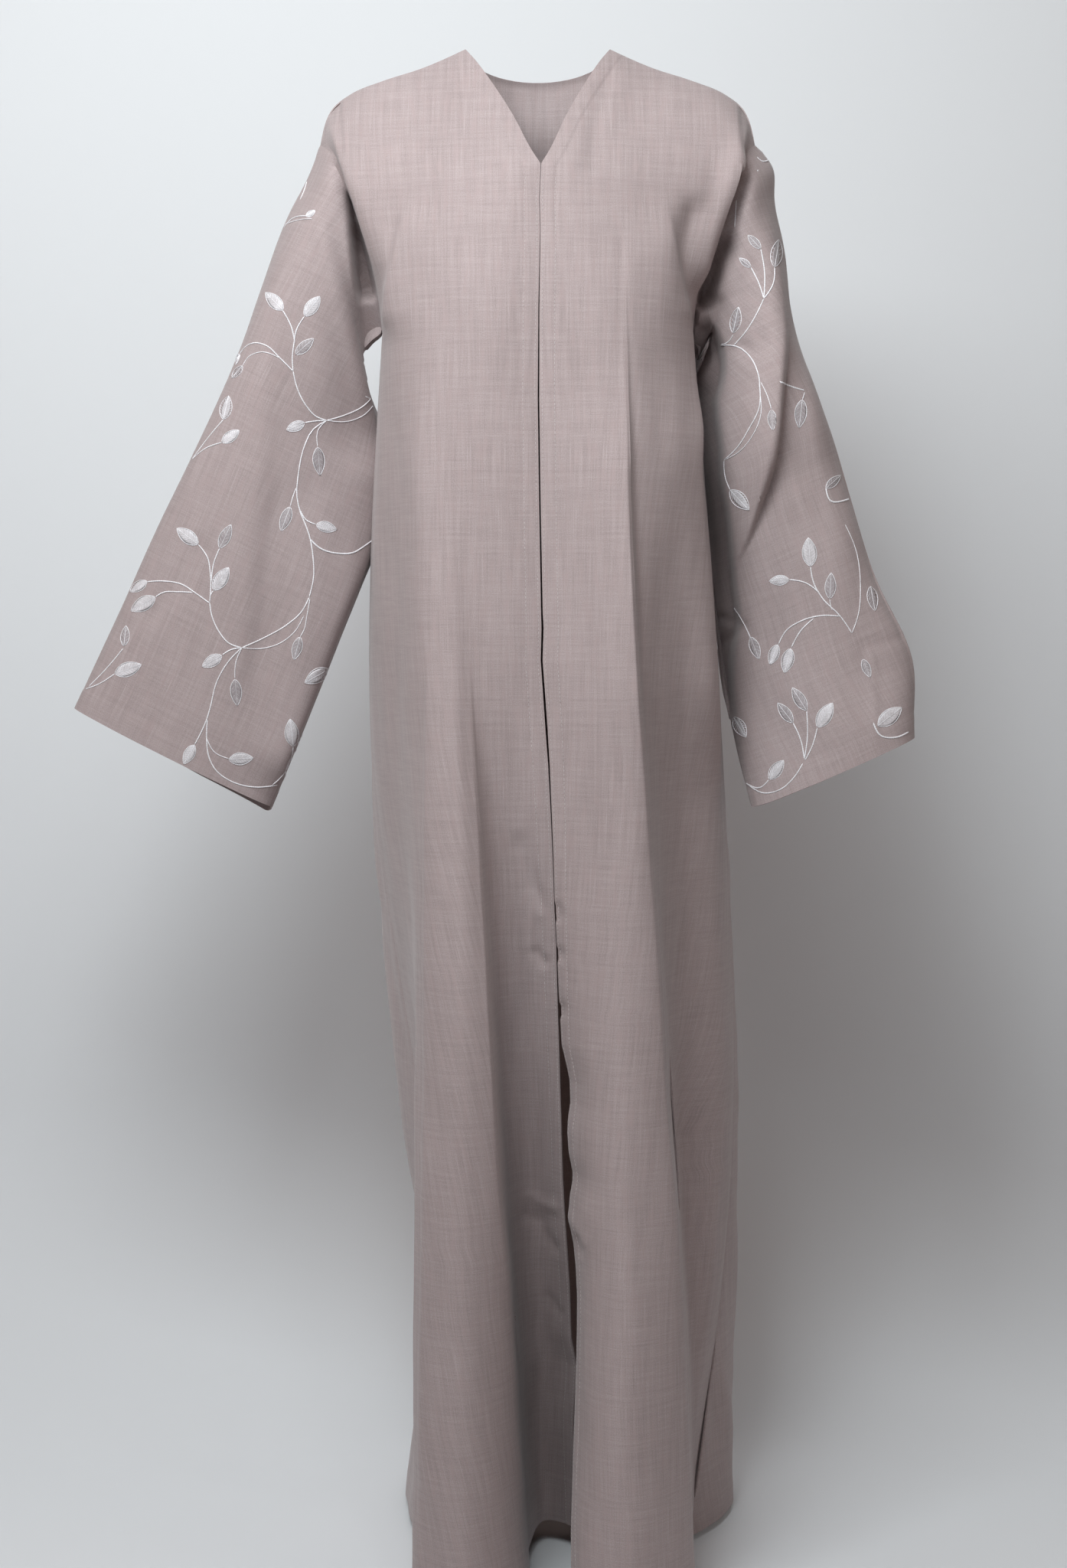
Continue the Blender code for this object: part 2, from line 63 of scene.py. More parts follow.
# Relief fades out this near a seam, and creases this near, so that neighbouring pieces meet
SEAM_REACH, CREASE_REACH = 0.004, 0.006


class Side(Enum):
    """The wearer's side of a piece."""

    RIGHT = -1
    LEFT = 1

    def word(self) -> str:
        """The side as it stands in the names of pieces."""
        return self.name.lower()


class Thread(Enum):
    """An embroidery thread, by its place among a piece's materials."""

    BRIGHT = 0
    SILVER = 1
    # GREY is the silver thread darkened: painted shade of thread that turns from the light. Outline leaves
    # take it too, as their thin ground.
    GREY = 2


class LeafWork(NamedTuple):
    """How a leaf is worked: its breadth and its stitches' pitch, as shares of its length, and threads."""

    breadth: float
    pitch: float
    ground: Thread
    midrib: Thread
    stitches: Thread


class Leaf(Enum):
    """The kinds of leaf: densely filled, thinly filled in its outline, and that in darker thread that
    paints shade.
    """

    FILLED = LeafWork(0.36, 0.10, Thread.SILVER, Thread.BRIGHT, Thread.BRIGHT)
    OUTLINE = LeafWork(0.30, 0.15, Thread.GREY, Thread.BRIGHT, Thread.SILVER)
    # A leaf in painted shade: its ground in the darkened thread, its midrib and stitches in silver.
    GREY = LeafWork(0.30, 0.15, Thread.GREY, Thread.SILVER, Thread.SILVER)


class Point(NamedTuple):
    """A point of a seam of one half: away from the middle, backwards and up."""

    out: float
    back: float
    up: float


class Rib(NamedTuple):
    """A fold line of the skirt: its place across the panel, (x, y) at each level, and its lift and tuck."""

    share: float
    underarm: Pair
    hip: Pair
    knee: Pair
    hem: Pair
    lift: float = 0.0
    tuck: float = 0.0

    def places(self) -> tuple[Pair, ...]:
        """Its (x, y) at each level."""
        return self.underarm, self.hip, self.knee, self.hem


class Station(NamedTuple):
    """A section of a sleeve: its outer and inner line, and how far it stands out in front and behind."""

    share: float
    outer: Place
    inner: Place
    front: float
    back: float


class Ridge(NamedTuple):
    """A point of a sleeve's deep fold."""

    share: float
    across: float
    height: float


class Crease(NamedTuple):
    """A ridge (or, with a height below zero, a trough) along a line of the view, in millimetres.

    For a line that runs down, `left` and `right` are its widths at the viewer's left and right. For
    one that runs to the right they are its widths below and above. A pointed one comes to an edge.
    """

    line: tuple[Pair, ...]
    height: float
    left: float
    right: float
    fade: float = 0.22
    pointed: bool = False


class Fulness(NamedTuple):
    """A swelling of a sleeve: its height, and its place and reach along and round the sleeve."""

    height: float
    share: float
    reach: float
    turn: float
    spread: float


class StemLine(NamedTuple):
    """An embroidered stem through points of the view, in millimetres wide."""

    width: float
    line: Sequence[Pair]


class LeafMark(NamedTuple):
    """An embroidered leaf from its base to its tip, in points of the view."""

    base: Pair
    tip: Pair
    kind: Leaf

    def half_width(self, shares: Array) -> Array:
        """Half its width at shares of its length."""
        widest = math.dist(self.base, self.tip) * self.kind.value.breadth
        return widest * LEAF_FULNESS * shares ** LEAF_BASE * (1.0 - shares) ** LEAF_TIP

    def places(self, shares: Array, beside: Array) -> Array:
        """Draws points of the leaf.

        Args:
            shares: Their shares of its length.
            beside: Their distances from its midrib.

        Returns:
            Points of the view.
        """
        base = np.array(self.base, float)
        way = np.array(self.tip) - base
        sideways = np.array([-way[1], way[0]]) / np.linalg.norm(way)
        return base + shares[..., None] * way + beside[..., None] * sideways


class Lamp(NamedTuple):
    """A soft rectangular light: where it stands, the point that it faces, its size, power and colour."""

    name: str
    place: Place
    aim: Place
    size: Pair
    power: float
    colour: Place


class Marks(NamedTuple):
    """Marks in the weave: their width, length, layer of noise, detail and roughness, tone and height."""

    wide: float
    long: float
    layer: float
    detail: float = 1.0
    roughness: float = 0.5
    tone: float = 0.0
    rise: float = 0.0


# The heights of the skirt's levels, and the ends and the middle that neighbouring seams share
LEVELS = (-0.272, -0.693, -1.073, -1.452)
NECK_POINT = Point(0.070, 0.004, 0.0)
SHOULDER_TIP = Point(0.210, 0.0, -0.092)
UNDERARM = Point(0.150, 0.0, -0.270)
RIGHT_SIDE_SEAM = ((-0.150, 0.0), (-0.162, 0.004), (-0.108, -0.060), (-0.098, -0.062))
LEFT_SIDE_SEAM = ((0.150, 0.0), (0.182, 0.012), (0.195, 0.030), (0.150, -0.035))
# A leaf's fulness, and how blunt its base and its tip are
LEAF_FULNESS, LEAF_BASE, LEAF_TIP = 2.30, 0.80, 0.95

SHOULDER_SEAM = (
    NECK_POINT, Point(0.111, 0.003, -0.018), Point(0.148, 0.002, -0.030),
    Point(0.180, 0.001, -0.043), Point(0.197, 0.0, -0.056), SHOULDER_TIP,
)
NECKLINE = (
    NECK_POINT, Point(0.060, -0.015, -0.014), Point(0.043, -0.035, -0.041),
    Point(0.025, -0.060, -0.074), Point(0.009, -0.090, -0.110), Point(0.0, -0.105, -0.127),
)
FRONT_ARMHOLE = (
    SHOULDER_TIP, Point(0.190, -0.040, -0.116), Point(0.173, -0.043, -0.158),
    Point(0.157, -0.030, -0.215), UNDERARM,
)
BACK_ARMHOLE = (
    SHOULDER_TIP, Point(0.200, 0.035, -0.115), Point(0.180, 0.052, -0.165),
    Point(0.162, 0.040, -0.220), UNDERARM,
)
FRONT_RIGHT_RIBS = (
    Rib(0.00, (0.0015, -0.130), (0.0085, -0.155), (0.0245, -0.130), (0.0385, -0.055), 0.016),
    Rib(0.11, (-0.026, -0.133), (-0.018, -0.152), (-0.003, -0.108), (0.006, -0.035), 0.016),
    Rib(0.22, (-0.052, -0.133), (-0.042, -0.157), (-0.026, -0.130), (-0.008, -0.090), 0.008),
    Rib(0.34, (-0.074, -0.129), (-0.057, -0.167), (-0.034, -0.180), (-0.012, -0.197)),
    Rib(0.47, (-0.096, -0.121), (-0.077, -0.178), (-0.070, -0.226), (-0.064, -0.264)),
    Rib(0.60, (-0.118, -0.106), (-0.107, -0.163), (-0.111, -0.196), (-0.113, -0.226)),
    Rib(0.75, (-0.136, -0.080), (-0.129, -0.105), (-0.104, -0.145), (-0.101, -0.150)),
    Rib(0.87, (-0.147, -0.042), (-0.150, -0.050), (-0.101, -0.103), (-0.094, -0.105)),
    Rib(1.00, *RIGHT_SIDE_SEAM),
)
FRONT_LEFT_RIBS = (
    Rib(0.00, (0.0042, -0.130), (0.0130, -0.157), (0.0337, -0.165), (0.0298, -0.215)),
    Rib(0.12, (0.031, -0.134), (0.039, -0.170), (0.050, -0.207), (0.048, -0.258)),
    Rib(0.26, (0.060, -0.132), (0.070, -0.181), (0.082, -0.227), (0.087, -0.275)),
    Rib(0.42, (0.090, -0.122), (0.101, -0.163), (0.128, -0.180), (0.145, -0.213)),
    Rib(0.56, (0.115, -0.106), (0.115, -0.124), (0.126, -0.124), (0.136, -0.140)),
    Rib(0.69, (0.133, -0.082), (0.134, -0.088), (0.139, -0.078), (0.134, -0.095)),
    Rib(0.85, (0.146, -0.042), (0.170, -0.042), (0.181, -0.032), (0.140, -0.065)),
    Rib(1.00, *LEFT_SIDE_SEAM),
)
BACK_RIBS = (
    Rib(0.00, *RIGHT_SIDE_SEAM),
    Rib(0.08, (-0.148, 0.030), (-0.164, 0.042), (-0.137, 0.010), (-0.124, -0.018), 0.0, 0.026),
    Rib(0.17, (-0.134, 0.060), (-0.156, 0.090), (-0.143, 0.088), (-0.139, 0.092), 0.0, 0.030),
    Rib(0.27, (-0.106, 0.084), (-0.128, 0.136), (-0.124, 0.170), (-0.128, 0.190), 0.0, 0.018),
    Rib(0.37, (-0.072, 0.097), (-0.083, 0.142), (-0.072, 0.155), (-0.068, 0.162)),
    Rib(0.47, (-0.034, 0.103), (-0.038, 0.162), (-0.030, 0.204), (-0.020, 0.238)),
    Rib(0.57, (0.010, 0.104), (0.012, 0.153), (0.026, 0.168), (0.036, 0.176)),
    Rib(0.67, (0.054, 0.100), (0.065, 0.159), (0.087, 0.200), (0.100, 0.234)),
    Rib(0.77, (0.094, 0.088), (0.110, 0.134), (0.134, 0.150), (0.150, 0.168)),
    Rib(0.86, (0.129, 0.063), (0.160, 0.098), (0.188, 0.120), (0.199, 0.132)),
    Rib(0.94, (0.146, 0.031), (0.184, 0.052), (0.204, 0.076), (0.190, 0.030)),
    Rib(1.00, *LEFT_SIDE_SEAM),
)
SLEEVE_RIGHT_STATIONS = (
    Station(0.05, (-0.221, 0.0, -0.120), (-0.170, 0.002, -0.288), 0.046, 0.050),
    Station(0.12, (-0.240, 0.0, -0.157), (-0.171, 0.010, -0.318), 0.054, 0.052),
    Station(0.25, (-0.268, 0.0, -0.229), (-0.159, 0.045, -0.376), 0.066, 0.052),
    Station(0.35, (-0.288, 0.0, -0.284), (-0.159, 0.058, -0.426), 0.064, 0.050),
    Station(0.55, (-0.337, 0.0, -0.392), (-0.178, 0.026, -0.519), 0.052, 0.046),
    Station(0.68, (-0.371, 0.0, -0.461), (-0.197, 0.015, -0.574), 0.046, 0.042),
    Station(0.82, (-0.406, 0.0, -0.538), (-0.222, 0.010, -0.637), 0.040, 0.038),
    Station(1.00, (-0.453, 0.0, -0.636), (-0.262, 0.0, -0.732), 0.032, 0.034),
)
SLEEVE_LEFT_STATIONS = (
    Station(0.05, (0.221, 0.0, -0.120), (0.168, 0.004, -0.285), 0.046, 0.050),
    Station(0.14, (0.235, 0.0, -0.171), (0.165, 0.028, -0.325), 0.056, 0.050),
    Station(0.34, (0.253, 0.0, -0.284), (0.164, 0.050, -0.412), 0.080, 0.048),
    Station(0.45, (0.276, -0.005, -0.347), (0.169, 0.050, -0.460), 0.082, 0.046),
    Station(0.60, (0.304, -0.014, -0.435), (0.177, 0.048, -0.535), 0.078, 0.044),
    Station(0.78, (0.330, -0.028, -0.535), (0.187, 0.030, -0.622), 0.064, 0.042),
    Station(0.88, (0.346, -0.036, -0.596), (0.196, 0.004, -0.676), 0.056, 0.040),
    Station(1.00, (0.360, -0.044, -0.663), (0.2085, -0.030, -0.7304), 0.046, 0.040),
)
LEFT_FOLD = (
    Ridge(0.00, 0.00, 0.0), Ridge(0.14, 0.03, 0.004), Ridge(0.25, 0.06, 0.012), Ridge(0.31, 0.12, 0.019),
    Ridge(0.38, 0.30, 0.022), Ridge(0.44, 0.46, 0.021), Ridge(0.48, 0.59, 0.016), Ridge(0.53, 0.75, 0.008),
    Ridge(0.58, 0.95, 0.0),
)

# Where the two front edges hang: (height, across) in the view
RIGHT_EDGE_LINE = (
    (213, 706.6), (240, 705.2), (260, 704.2), (300, 705.6), (400, 703.2), (520, 702.4), (650, 704.2),
    (800, 706.8), (820, 707.4), (863, 706.4), (900, 709), (950, 712.4), (1000, 716.2), (1060, 719.4),
    (1118, 722), (1179, 724), (1233, 726.5), (1291, 728), (1360, 730), (1437, 732), (1541, 735),
    (1591, 738), (1637, 741), (1687, 744), (1748, 746), (1784, 753),
)
LEFT_EDGE_LINE = (
    (213, 707.2), (240, 706.0), (260, 705.2), (300, 706.4), (400, 704.8), (520, 704.6), (650, 706.2),
    (800, 709.2), (820, 710.2), (863, 709.0), (900, 711.8), (950, 715.4), (1000, 718.4), (1060, 721.0),
    (1118, 723.4), (1179, 725), (1214, 726.8), (1291, 730), (1364, 734), (1391, 740.5), (1410, 744.5),
    (1439, 745.5), (1460, 742.5), (1479, 741.5), (1506, 743.5), (1529, 748.4), (1541, 748.4), (1560, 745),
    (1579, 743.5), (1598, 745), (1625, 749.6), (1652, 752.3), (1691, 754.2), (1729, 754), (1784, 753),
    (2000, 746),
)

# The edges over which the two deep flutes turn, from above
RIGHT_FLUTE = (
    (611, 820), (614, 880), (622, 1000), (638, 1250), (649, 1443), (663, 1637), (675, 1729), (685, 1872),
    (690, 2015), (691, 2070),
)
RIGHT_RIDGE = (
    (556, 800), (551, 980), (550, 1180), (550, 1370), (548, 1600), (544, 1820), (541, 2070),
)
LEFT_FLUTE = (
    (816, 330), (822, 600), (835, 891), (848, 1060), (858, 1197), (875, 1443), (890, 1634), (902, 1825),
    (910, 2070),
)

# Creases stand out from the cloth; recesses lie straight behind its face
FRONT_RIGHT_CREASES = (
    Crease(((538, 258), (530, 290), (522, 330), (514, 372), (509, 410), (506, 450)), 6.0, 6, 26),
    Crease(((562, 300), (560, 440), (561, 590), (562, 720)), 2.3, 14, 18),
    Crease(((446, 140), (451, 210), (463, 262), (483, 322), (500, 372)), 2.0, 5, 14),
    Crease(((600, 330), (596, 480), (590, 640), (584, 820)), -1.6, 20, 20),
    Crease(((668, 300), (664, 480), (660, 700), (664, 900)), 1.5, 22, 22),
    Crease(((676, 1080), (684, 1120), (696, 1156), (713, 1196)), -3.0, 9, 6),
    Crease(((690, 1160), (700, 1185), (706, 1204)), 1.6, 3, 3),
    Crease(((694, 1236), (705, 1250), (718, 1264)), -2.4, 5, 5),
    Crease(((682, 1556), (698, 1566), (715, 1575), (738, 1580)), 1.8, 4, 4),
    Crease(((678, 1584), (696, 1592), (716, 1598)), -1.8, 6, 5),
    Crease(((704, 1600), (718, 1620), (732, 1642)), -1.5, 4, 4),
    Crease(((712, 1684), (724, 1704), (737, 1726)), -1.5, 4, 4),
)
FRONT_RIGHT_RECESSES = (
    Crease(((441, 112), (443, 140), (446, 176), (449, 214)), -6.0, 12, 2.2, 0.12),
    Crease(RIGHT_FLUTE, 38.0, 28, 1.6, 0.50, pointed=True),
    Crease(RIGHT_FLUTE, -10.0, 1.6, 28, 0.50),
    Crease(((592, 760), (600, 1000), (616, 1250), (630, 1443), (644, 1637), (662, 1872), (666, 2070)),
           2.5, 22, 12, 0.15),
    Crease(RIGHT_RIDGE, -5.0, 30, 1.8, 0.15),
    Crease(RIGHT_RIDGE, 3.0, 1.8, 24, 0.15),
    Crease(((572, 800), (567, 980), (567, 1370), (563, 1700), (558, 2070)), 2.0, 10, 22, 0.15),
)
FRONT_LEFT_CREASES = (
    Crease(((799, 72), (794, 110), (783, 140), (778, 165), (776, 195), (773, 240)), -2.4, 9, 9),
    Crease(((866, 250), (875, 300), (881, 343), (889, 386), (896, 430), (900, 500), (906, 560),
            (909, 640)), 6.0, 24, 5),
    Crease(((826, 270), (825, 400), (826, 500), (826, 650)), 2.4, 7, 20),
    Crease(((964, 176), (969, 208), (966, 238), (959, 266), (947, 300), (932, 337), (918, 369),
            (908, 392)), 8.0, 16, 6),
    Crease(((745, 300), (748, 480), (752, 700), (758, 900)), -1.4, 20, 20),
    Crease(((788, 330), (786, 500), (784, 720), (786, 960)), 1.4, 18, 18),
    Crease(((738, 1578), (748, 1594), (757, 1612), (767, 1634)), 1.6, 4, 4),
    Crease(((754, 1608), (757, 1622), (760, 1642)), -1.5, 3, 3),
    Crease(((726, 1178), (731, 1193), (728, 1206)), -2.4, 4, 4),
    Crease(((728, 1236), (733, 1246), (730, 1258)), -2.4, 4, 4),
    Crease(((731, 1308), (735, 1319), (733, 1330)), -2.2, 4, 4),
)
FRONT_LEFT_RECESSES = (
    Crease(((901, 450), (908, 540), (914, 620), (921, 720), (928, 800), (933, 870), (937, 950),
            (941, 1060)), 46.0, 46, 5, 0.30, pointed=True),
    Crease(((867, 1320), (876, 1443), (891, 1634), (903, 1825), (911, 2070)), -13.0, 1.8, 30, 0.22),
    Crease(((964, 118), (968, 140), (971, 170), (972, 205), (970, 232)), -6.0, 2.2, 12, 0.12),
    Crease(((908, 248), (902, 285), (893, 330), (897, 372), (904, 410)), -8.0, 9, 12),
    Crease(LEFT_FLUTE, 22.0, 27, 1.8, 0.34, pointed=True),
    Crease(LEFT_FLUTE, -7.0, 1.8, 28, 0.34),
    Crease(((800, 500), (818, 891), (838, 1197), (856, 1443), (872, 1634), (884, 1825), (892, 2070)),
           2.5, 24, 12, 0.15),
)
SLEEVE_RIGHT_CREASES = (
    Crease(((408, 262), (425, 323), (440, 390), (456, 447), (470, 500), (480, 560)), 3.6, 8, 12),
    Crease(((352, 420), (340, 560), (324, 690), (315, 806), (300, 960)), 4.2, 26, 14),
    Crease(((372, 600), (354, 720), (344, 830), (332, 945)), -2.0, 10, 20),
    Crease(((268, 690), (240, 745), (215, 782), (172, 826)), -2.4, 11, 11),
    Crease(((176, 800), (142, 845), (108, 900)), -1.6, 10, 10),
    Crease(((420, 620), (408, 760), (380, 900)), 1.8, 16, 16),
)
SLEEVE_RIGHT_RECESSES = (
    Crease(((438, 196), (447, 216), (456, 244), (466, 280), (478, 318), (494, 362), (504, 396)),
           -11.0, 9, 30, 0.10),
    Crease(((451, 210), (455, 240), (459, 279), (463, 330), (467, 371), (470, 396)), -30.0, 2.2, 40, 0.14),
    Crease(((459, 279), (463, 330), (467, 371), (473, 420), (478, 454), (484, 492), (490, 546)),
           -16.0, 2.2, 40, 0.10),
    Crease(((496, 560), (493, 630), (488, 690), (482, 722), (453, 801), (446, 825), (404, 932), (384, 984),
            (354, 1052)), 22.0, 34, 10, 0.14, pointed=True),
)
SLEEVE_LEFT_CREASES = (
    Crease(((1008, 290), (1020, 350), (1026, 400), (1026, 440), (1022, 500), (1015, 559), (1006, 612),
            (988, 676)), 2.0, 12, 4),
    Crease(((938, 322), (948, 346), (946, 372), (936, 392)), 5.0, 8, 8),
    Crease(((988, 335), (971, 370), (963, 402)), -2.6, 8, 8),
    Crease(((1006, 432), (986, 456), (958, 448)), -3.0, 8, 8),
    Crease(((906, 416), (918, 427), (936, 424)), -3.0, 4, 4),
    Crease(((914, 436), (923, 452), (928, 478), (922, 508)), 3.5, 5, 5),
    Crease(((1046, 430), (1058, 500), (1064, 560), (1076, 625), (1102, 712)), 1.6, 7, 9),
    Crease(((1120, 846), (1144, 842), (1170, 836)), -1.4, 4, 4),
    Crease(((1136, 836), (1141, 900), (1145, 980)), 1.3, 5, 5),
    Crease(((980, 820), (960, 812), (934, 803)), -2.0, 4, 4),
    Crease(((980, 816), (958, 832), (937, 850)), -1.8, 4, 4),
    Crease(((1040, 640), (1030, 720), (1010, 800), (985, 880)), -2.4, 16, 24),
    Crease(((1100, 640), (1092, 760), (1086, 880), (1090, 1000)), 2.0, 16, 20),
)
SLEEVE_LEFT_RECESSES = (
    Crease(((1076, 540), (1108, 680), (1138, 800), (1166, 950)), -9.0, 44, 22, 0.20),
    Crease(((974, 214), (972, 240), (966, 262), (956, 300), (942, 337), (928, 369), (910, 404)),
           -7.0, 20, 5, 0.10),
    Crease(((952, 296), (944, 322), (936, 350), (926, 380), (918, 410)), -20.0, 26, 11, 0.25),
    Crease(((922, 404), (932, 424), (940, 446), (944, 474), (943, 496), (935, 522), (936, 540), (941, 580),
            (943, 631), (951, 679), (955, 734), (957, 762), (963, 810), (956, 850), (954, 900),
            (962, 955)), -36.0, 34, 2.2, 0.10),
)

SLEEVE_RIGHT_FULNESS = (Fulness(0.014, 0.34, 0.17, -0.30, 0.75),)
SLEEVE_LEFT_FULNESS = (Fulness(0.015, 0.12, 0.22, -0.30, 0.75), Fulness(0.008, 0.045, 0.035, math.pi, 0.90),
                       Fulness(0.017, 0.87, 0.10, math.pi, 0.60))

THIN, STEM, BOLD = 1.1, 1.5, 2.0
FILLED, OUTLINE, GREY = Leaf
SLEEVE_RIGHT_STEMS = tuple(StemLine(width, line) for width, *line in (
    (STEM, (401, 237), (397, 250), (392, 261)),
    (STEM, (371, 297), (385, 284), (400, 282)),
    (THIN, (373, 293), (392, 287), (408, 286)),
    (STEM, (369, 405), (381, 428), (385, 447)),
    (STEM, (398, 413), (387, 432), (384, 449), (382, 466), (383, 485)),
    (STEM, (383, 485), (366, 468), (347, 451), (332, 448), (322, 452), (313, 463)),
    (THIN, (366, 468), (340, 460), (325, 466), (317, 478)),
    (STEM, (383, 485), (389, 509), (400, 530), (413, 544), (427, 549)),
    (STEM, (398, 552), (412, 550), (427, 549)),
    (STEM, (427, 549), (451, 542), (475, 530), (486, 519)),
    (THIN, (427, 549), (456, 550), (478, 540), (487, 530)),
    (THIN, (427, 549), (416, 561), (415, 584)),
    (STEM, (427, 549), (409, 561), (397, 585), (390, 618), (388, 649), (392, 668), (399, 685),
     (404, 699), (409, 728), (410, 751), (404, 780)),
    (THIN, (387, 637), (382, 651), (379, 662)),
    (STEM, (392, 666), (400, 679), (413, 685)),
    (BOLD, (405, 704), (418, 716), (442, 723), (461, 722), (475, 714), (486, 706)),
    (THIN, (405, 782), (401, 804), (397, 823), (392, 832)),
    (STEM, (404, 780), (394, 799), (375, 816), (347, 832), (316, 846)),
    (THIN, (397, 804), (385, 825), (366, 840), (342, 847), (316, 846)),
    (STEM, (316, 846), (301, 849), (290, 856)),
    (STEM, (316, 846), (299, 840), (285, 823), (276, 801), (274, 787)),
    (STEM, (259, 711), (271, 728), (275, 751), (274, 787)),
    (STEM, (287, 716), (279, 737), (276, 761)),
    (THIN, (279, 771), (276, 776), (274, 781)),
    (STEM, (274, 788), (256, 775), (237, 763), (213, 759), (192, 760)),
    (STEM, (252, 774), (232, 773), (213, 774), (203, 780)),
    (STEM, (316, 846), (297, 866), (282, 894), (275, 923), (271, 937), (263, 956), (254, 973)),
    (STEM, (271, 940), (270, 966), (273, 989), (282, 1006), (301, 1020), (332, 1028), (363, 1025)),
    (THIN, (270, 964), (280, 982), (299, 991)),
    (THIN, (316, 846), (308, 866), (307, 887)),
    (STEM, (383, 975), (379, 994), (366, 1016), (356, 1025)),
    (STEM, (292, 548), (275, 568), (251, 600)),
    (STEM, (290, 578), (270, 585), (251, 600)),
    (STEM, (150, 880), (128, 894), (112, 900)),
    (STEM, (161, 847), (142, 870), (116, 897)),
))
SLEEVE_RIGHT_LEAVES = tuple(LeafMark(*row) for row in (
    ((400, 283), (412, 275), FILLED), ((370, 405), (347, 382), FILLED), ((398, 413), (418, 387), FILLED),
    ((386, 463), (410, 442), OUTLINE), ((313, 463), (300, 473), FILLED), ((317, 478), (303, 494), OUTLINE),
    ((398, 552), (374, 562), FILLED), ((415, 584), (418, 621), GREY), ((379, 662), (367, 694), OUTLINE),
    ((413, 685), (440, 692), FILLED), ((392, 832), (384, 862), OUTLINE), ((290, 856), (264, 871), FILLED),
    ((259, 711), (231, 690), FILLED), ((287, 716), (302, 685), OUTLINE), ((279, 771), (299, 741), FILLED),
    ((192, 759), (170, 773), FILLED), ((203, 780), (171, 798), FILLED), ((150, 880), (185, 868), FILLED),
    ((162, 844), (165, 817), OUTLINE), ((254, 973), (240, 998), FILLED), ((299, 992), (331, 990), FILLED),
    ((307, 887), (310, 922), GREY), ((429, 874), (398, 892), FILLED), ((383, 975), (379, 939), FILLED),
    ((292, 548), (299, 517), FILLED), ((290, 578), (313, 562), FILLED),
))
SLEEVE_LEFT_STEMS = tuple(StemLine(width, line) for width, *line in (
    (BOLD, (989, 205), (997, 211), (1005, 209)),
    (THIN, (962, 261), (961, 280), (960, 297)),
    (STEM, (994, 325), (999, 356), (998, 390)),
    (STEM, (981, 349), (992, 371), (998, 390)),
    (STEM, (1012, 349), (1010, 371), (998, 390)),
    (STEM, (998, 390), (987, 413), (973, 435), (959, 451)),
    (STEM, (958, 437), (951, 447), (942, 451)),
    (STEM, (942, 451), (966, 454), (980, 466), (991, 490), (993, 513)),
    (STEM, (992, 499), (992, 532), (978, 561), (963, 585), (946, 601)),
    (THIN, (993, 513), (994, 542), (982, 571), (966, 590), (946, 601)),
    (THIN, (994, 499), (1003, 518), (1008, 535)),
    (STEM, (946, 601), (947, 621), (954, 640)),
    (BOLD, (1019, 498), (1034, 505), (1051, 510)),
    (THIN, (1048, 522), (1050, 517), (1051, 512)),
    (BOLD, (1079, 637), (1085, 654), (1109, 652)),
    (STEM, (1059, 740), (1063, 761), (1075, 782), (1097, 804), (1113, 827)),
    (STEM, (1031, 757), (1054, 762), (1071, 775)),
    (THIN, (1084, 782), (1085, 790), (1087, 797)),
    (STEM, (1097, 805), (1075, 804), (1047, 811), (1028, 823), (1017, 842)),
    (STEM, (1063, 808), (1047, 823), (1034, 846)),
    (THIN, (1113, 827), (1121, 804), (1124, 766), (1118, 718), (1104, 685)),
    (STEM, (959, 794), (971, 813), (981, 834)),
    (STEM, (1036, 944), (1046, 966), (1051, 992)),
    (STEM, (1054, 928), (1055, 961), (1051, 992)),
    (STEM, (1068, 950), (1061, 975), (1052, 993)),
    (STEM, (1049, 997), (1037, 1016), (1018, 1032), (999, 1036), (975, 1023)),
    (STEM, (1005, 1018), (992, 1029), (975, 1023)),
    (BOLD, (1141, 944), (1151, 961), (1171, 963), (1187, 956)),
))
SLEEVE_LEFT_LEAVES = tuple(LeafMark(*row) for row in (
    ((994, 325), (977, 307), OUTLINE), ((981, 349), (966, 337), OUTLINE),
    ((1012, 349), (1017, 313), OUTLINE), ((958, 435), (965, 401), OUTLINE),
    ((1008, 535), (1010, 562), GREY), ((954, 640), (979, 666), FILLED), ((1048, 522), (1044, 559), OUTLINE),
    ((1079, 638), (1098, 621), OUTLINE), ((1059, 740), (1056, 702), FILLED),
    ((1031, 757), (1005, 759), FILLED), ((1084, 782), (1086, 748), OUTLINE),
    ((1016, 842), (1006, 868), FILLED), ((1033, 847), (1025, 879), FILLED),
    ((1137, 766), (1143, 798), OUTLINE), ((1127, 861), (1137, 885), GREY),
    ((1147, 948), (1178, 924), FILLED), ((981, 832), (992, 861), GREY), ((1036, 944), (1016, 918), OUTLINE),
    ((1054, 928), (1035, 898), OUTLINE), ((1068, 950), (1088, 918), FILLED),
    ((1005, 1018), (1024, 993), FILLED), ((959, 937), (975, 963), FILLED),
))


def slopes(knots: Array, values: Array) -> Array:
    """The slope at each knot of the parabola through it and its neighbours.

    Args:
        knots: The parameters of the values.
        values: One row of numbers for each knot.

    Returns:
        One row of slopes for each knot.
    """
    steps = np.diff(knots)[:, None]
    runs = np.diff(values, axis=0) / steps
    result = np.empty_like(values)
    result[1:-1] = (runs[:-1] * steps[1:] + runs[1:] * steps[:-1]) / (steps[:-1] + steps[1:])
    result[0] = 1.5 * runs[0] - 0.5 * result[1] if len(values) > 2 else runs[0]
    result[-1] = 1.5 * runs[-1] - 0.5 * result[-2] if len(values) > 2 else runs[-1]
    return result


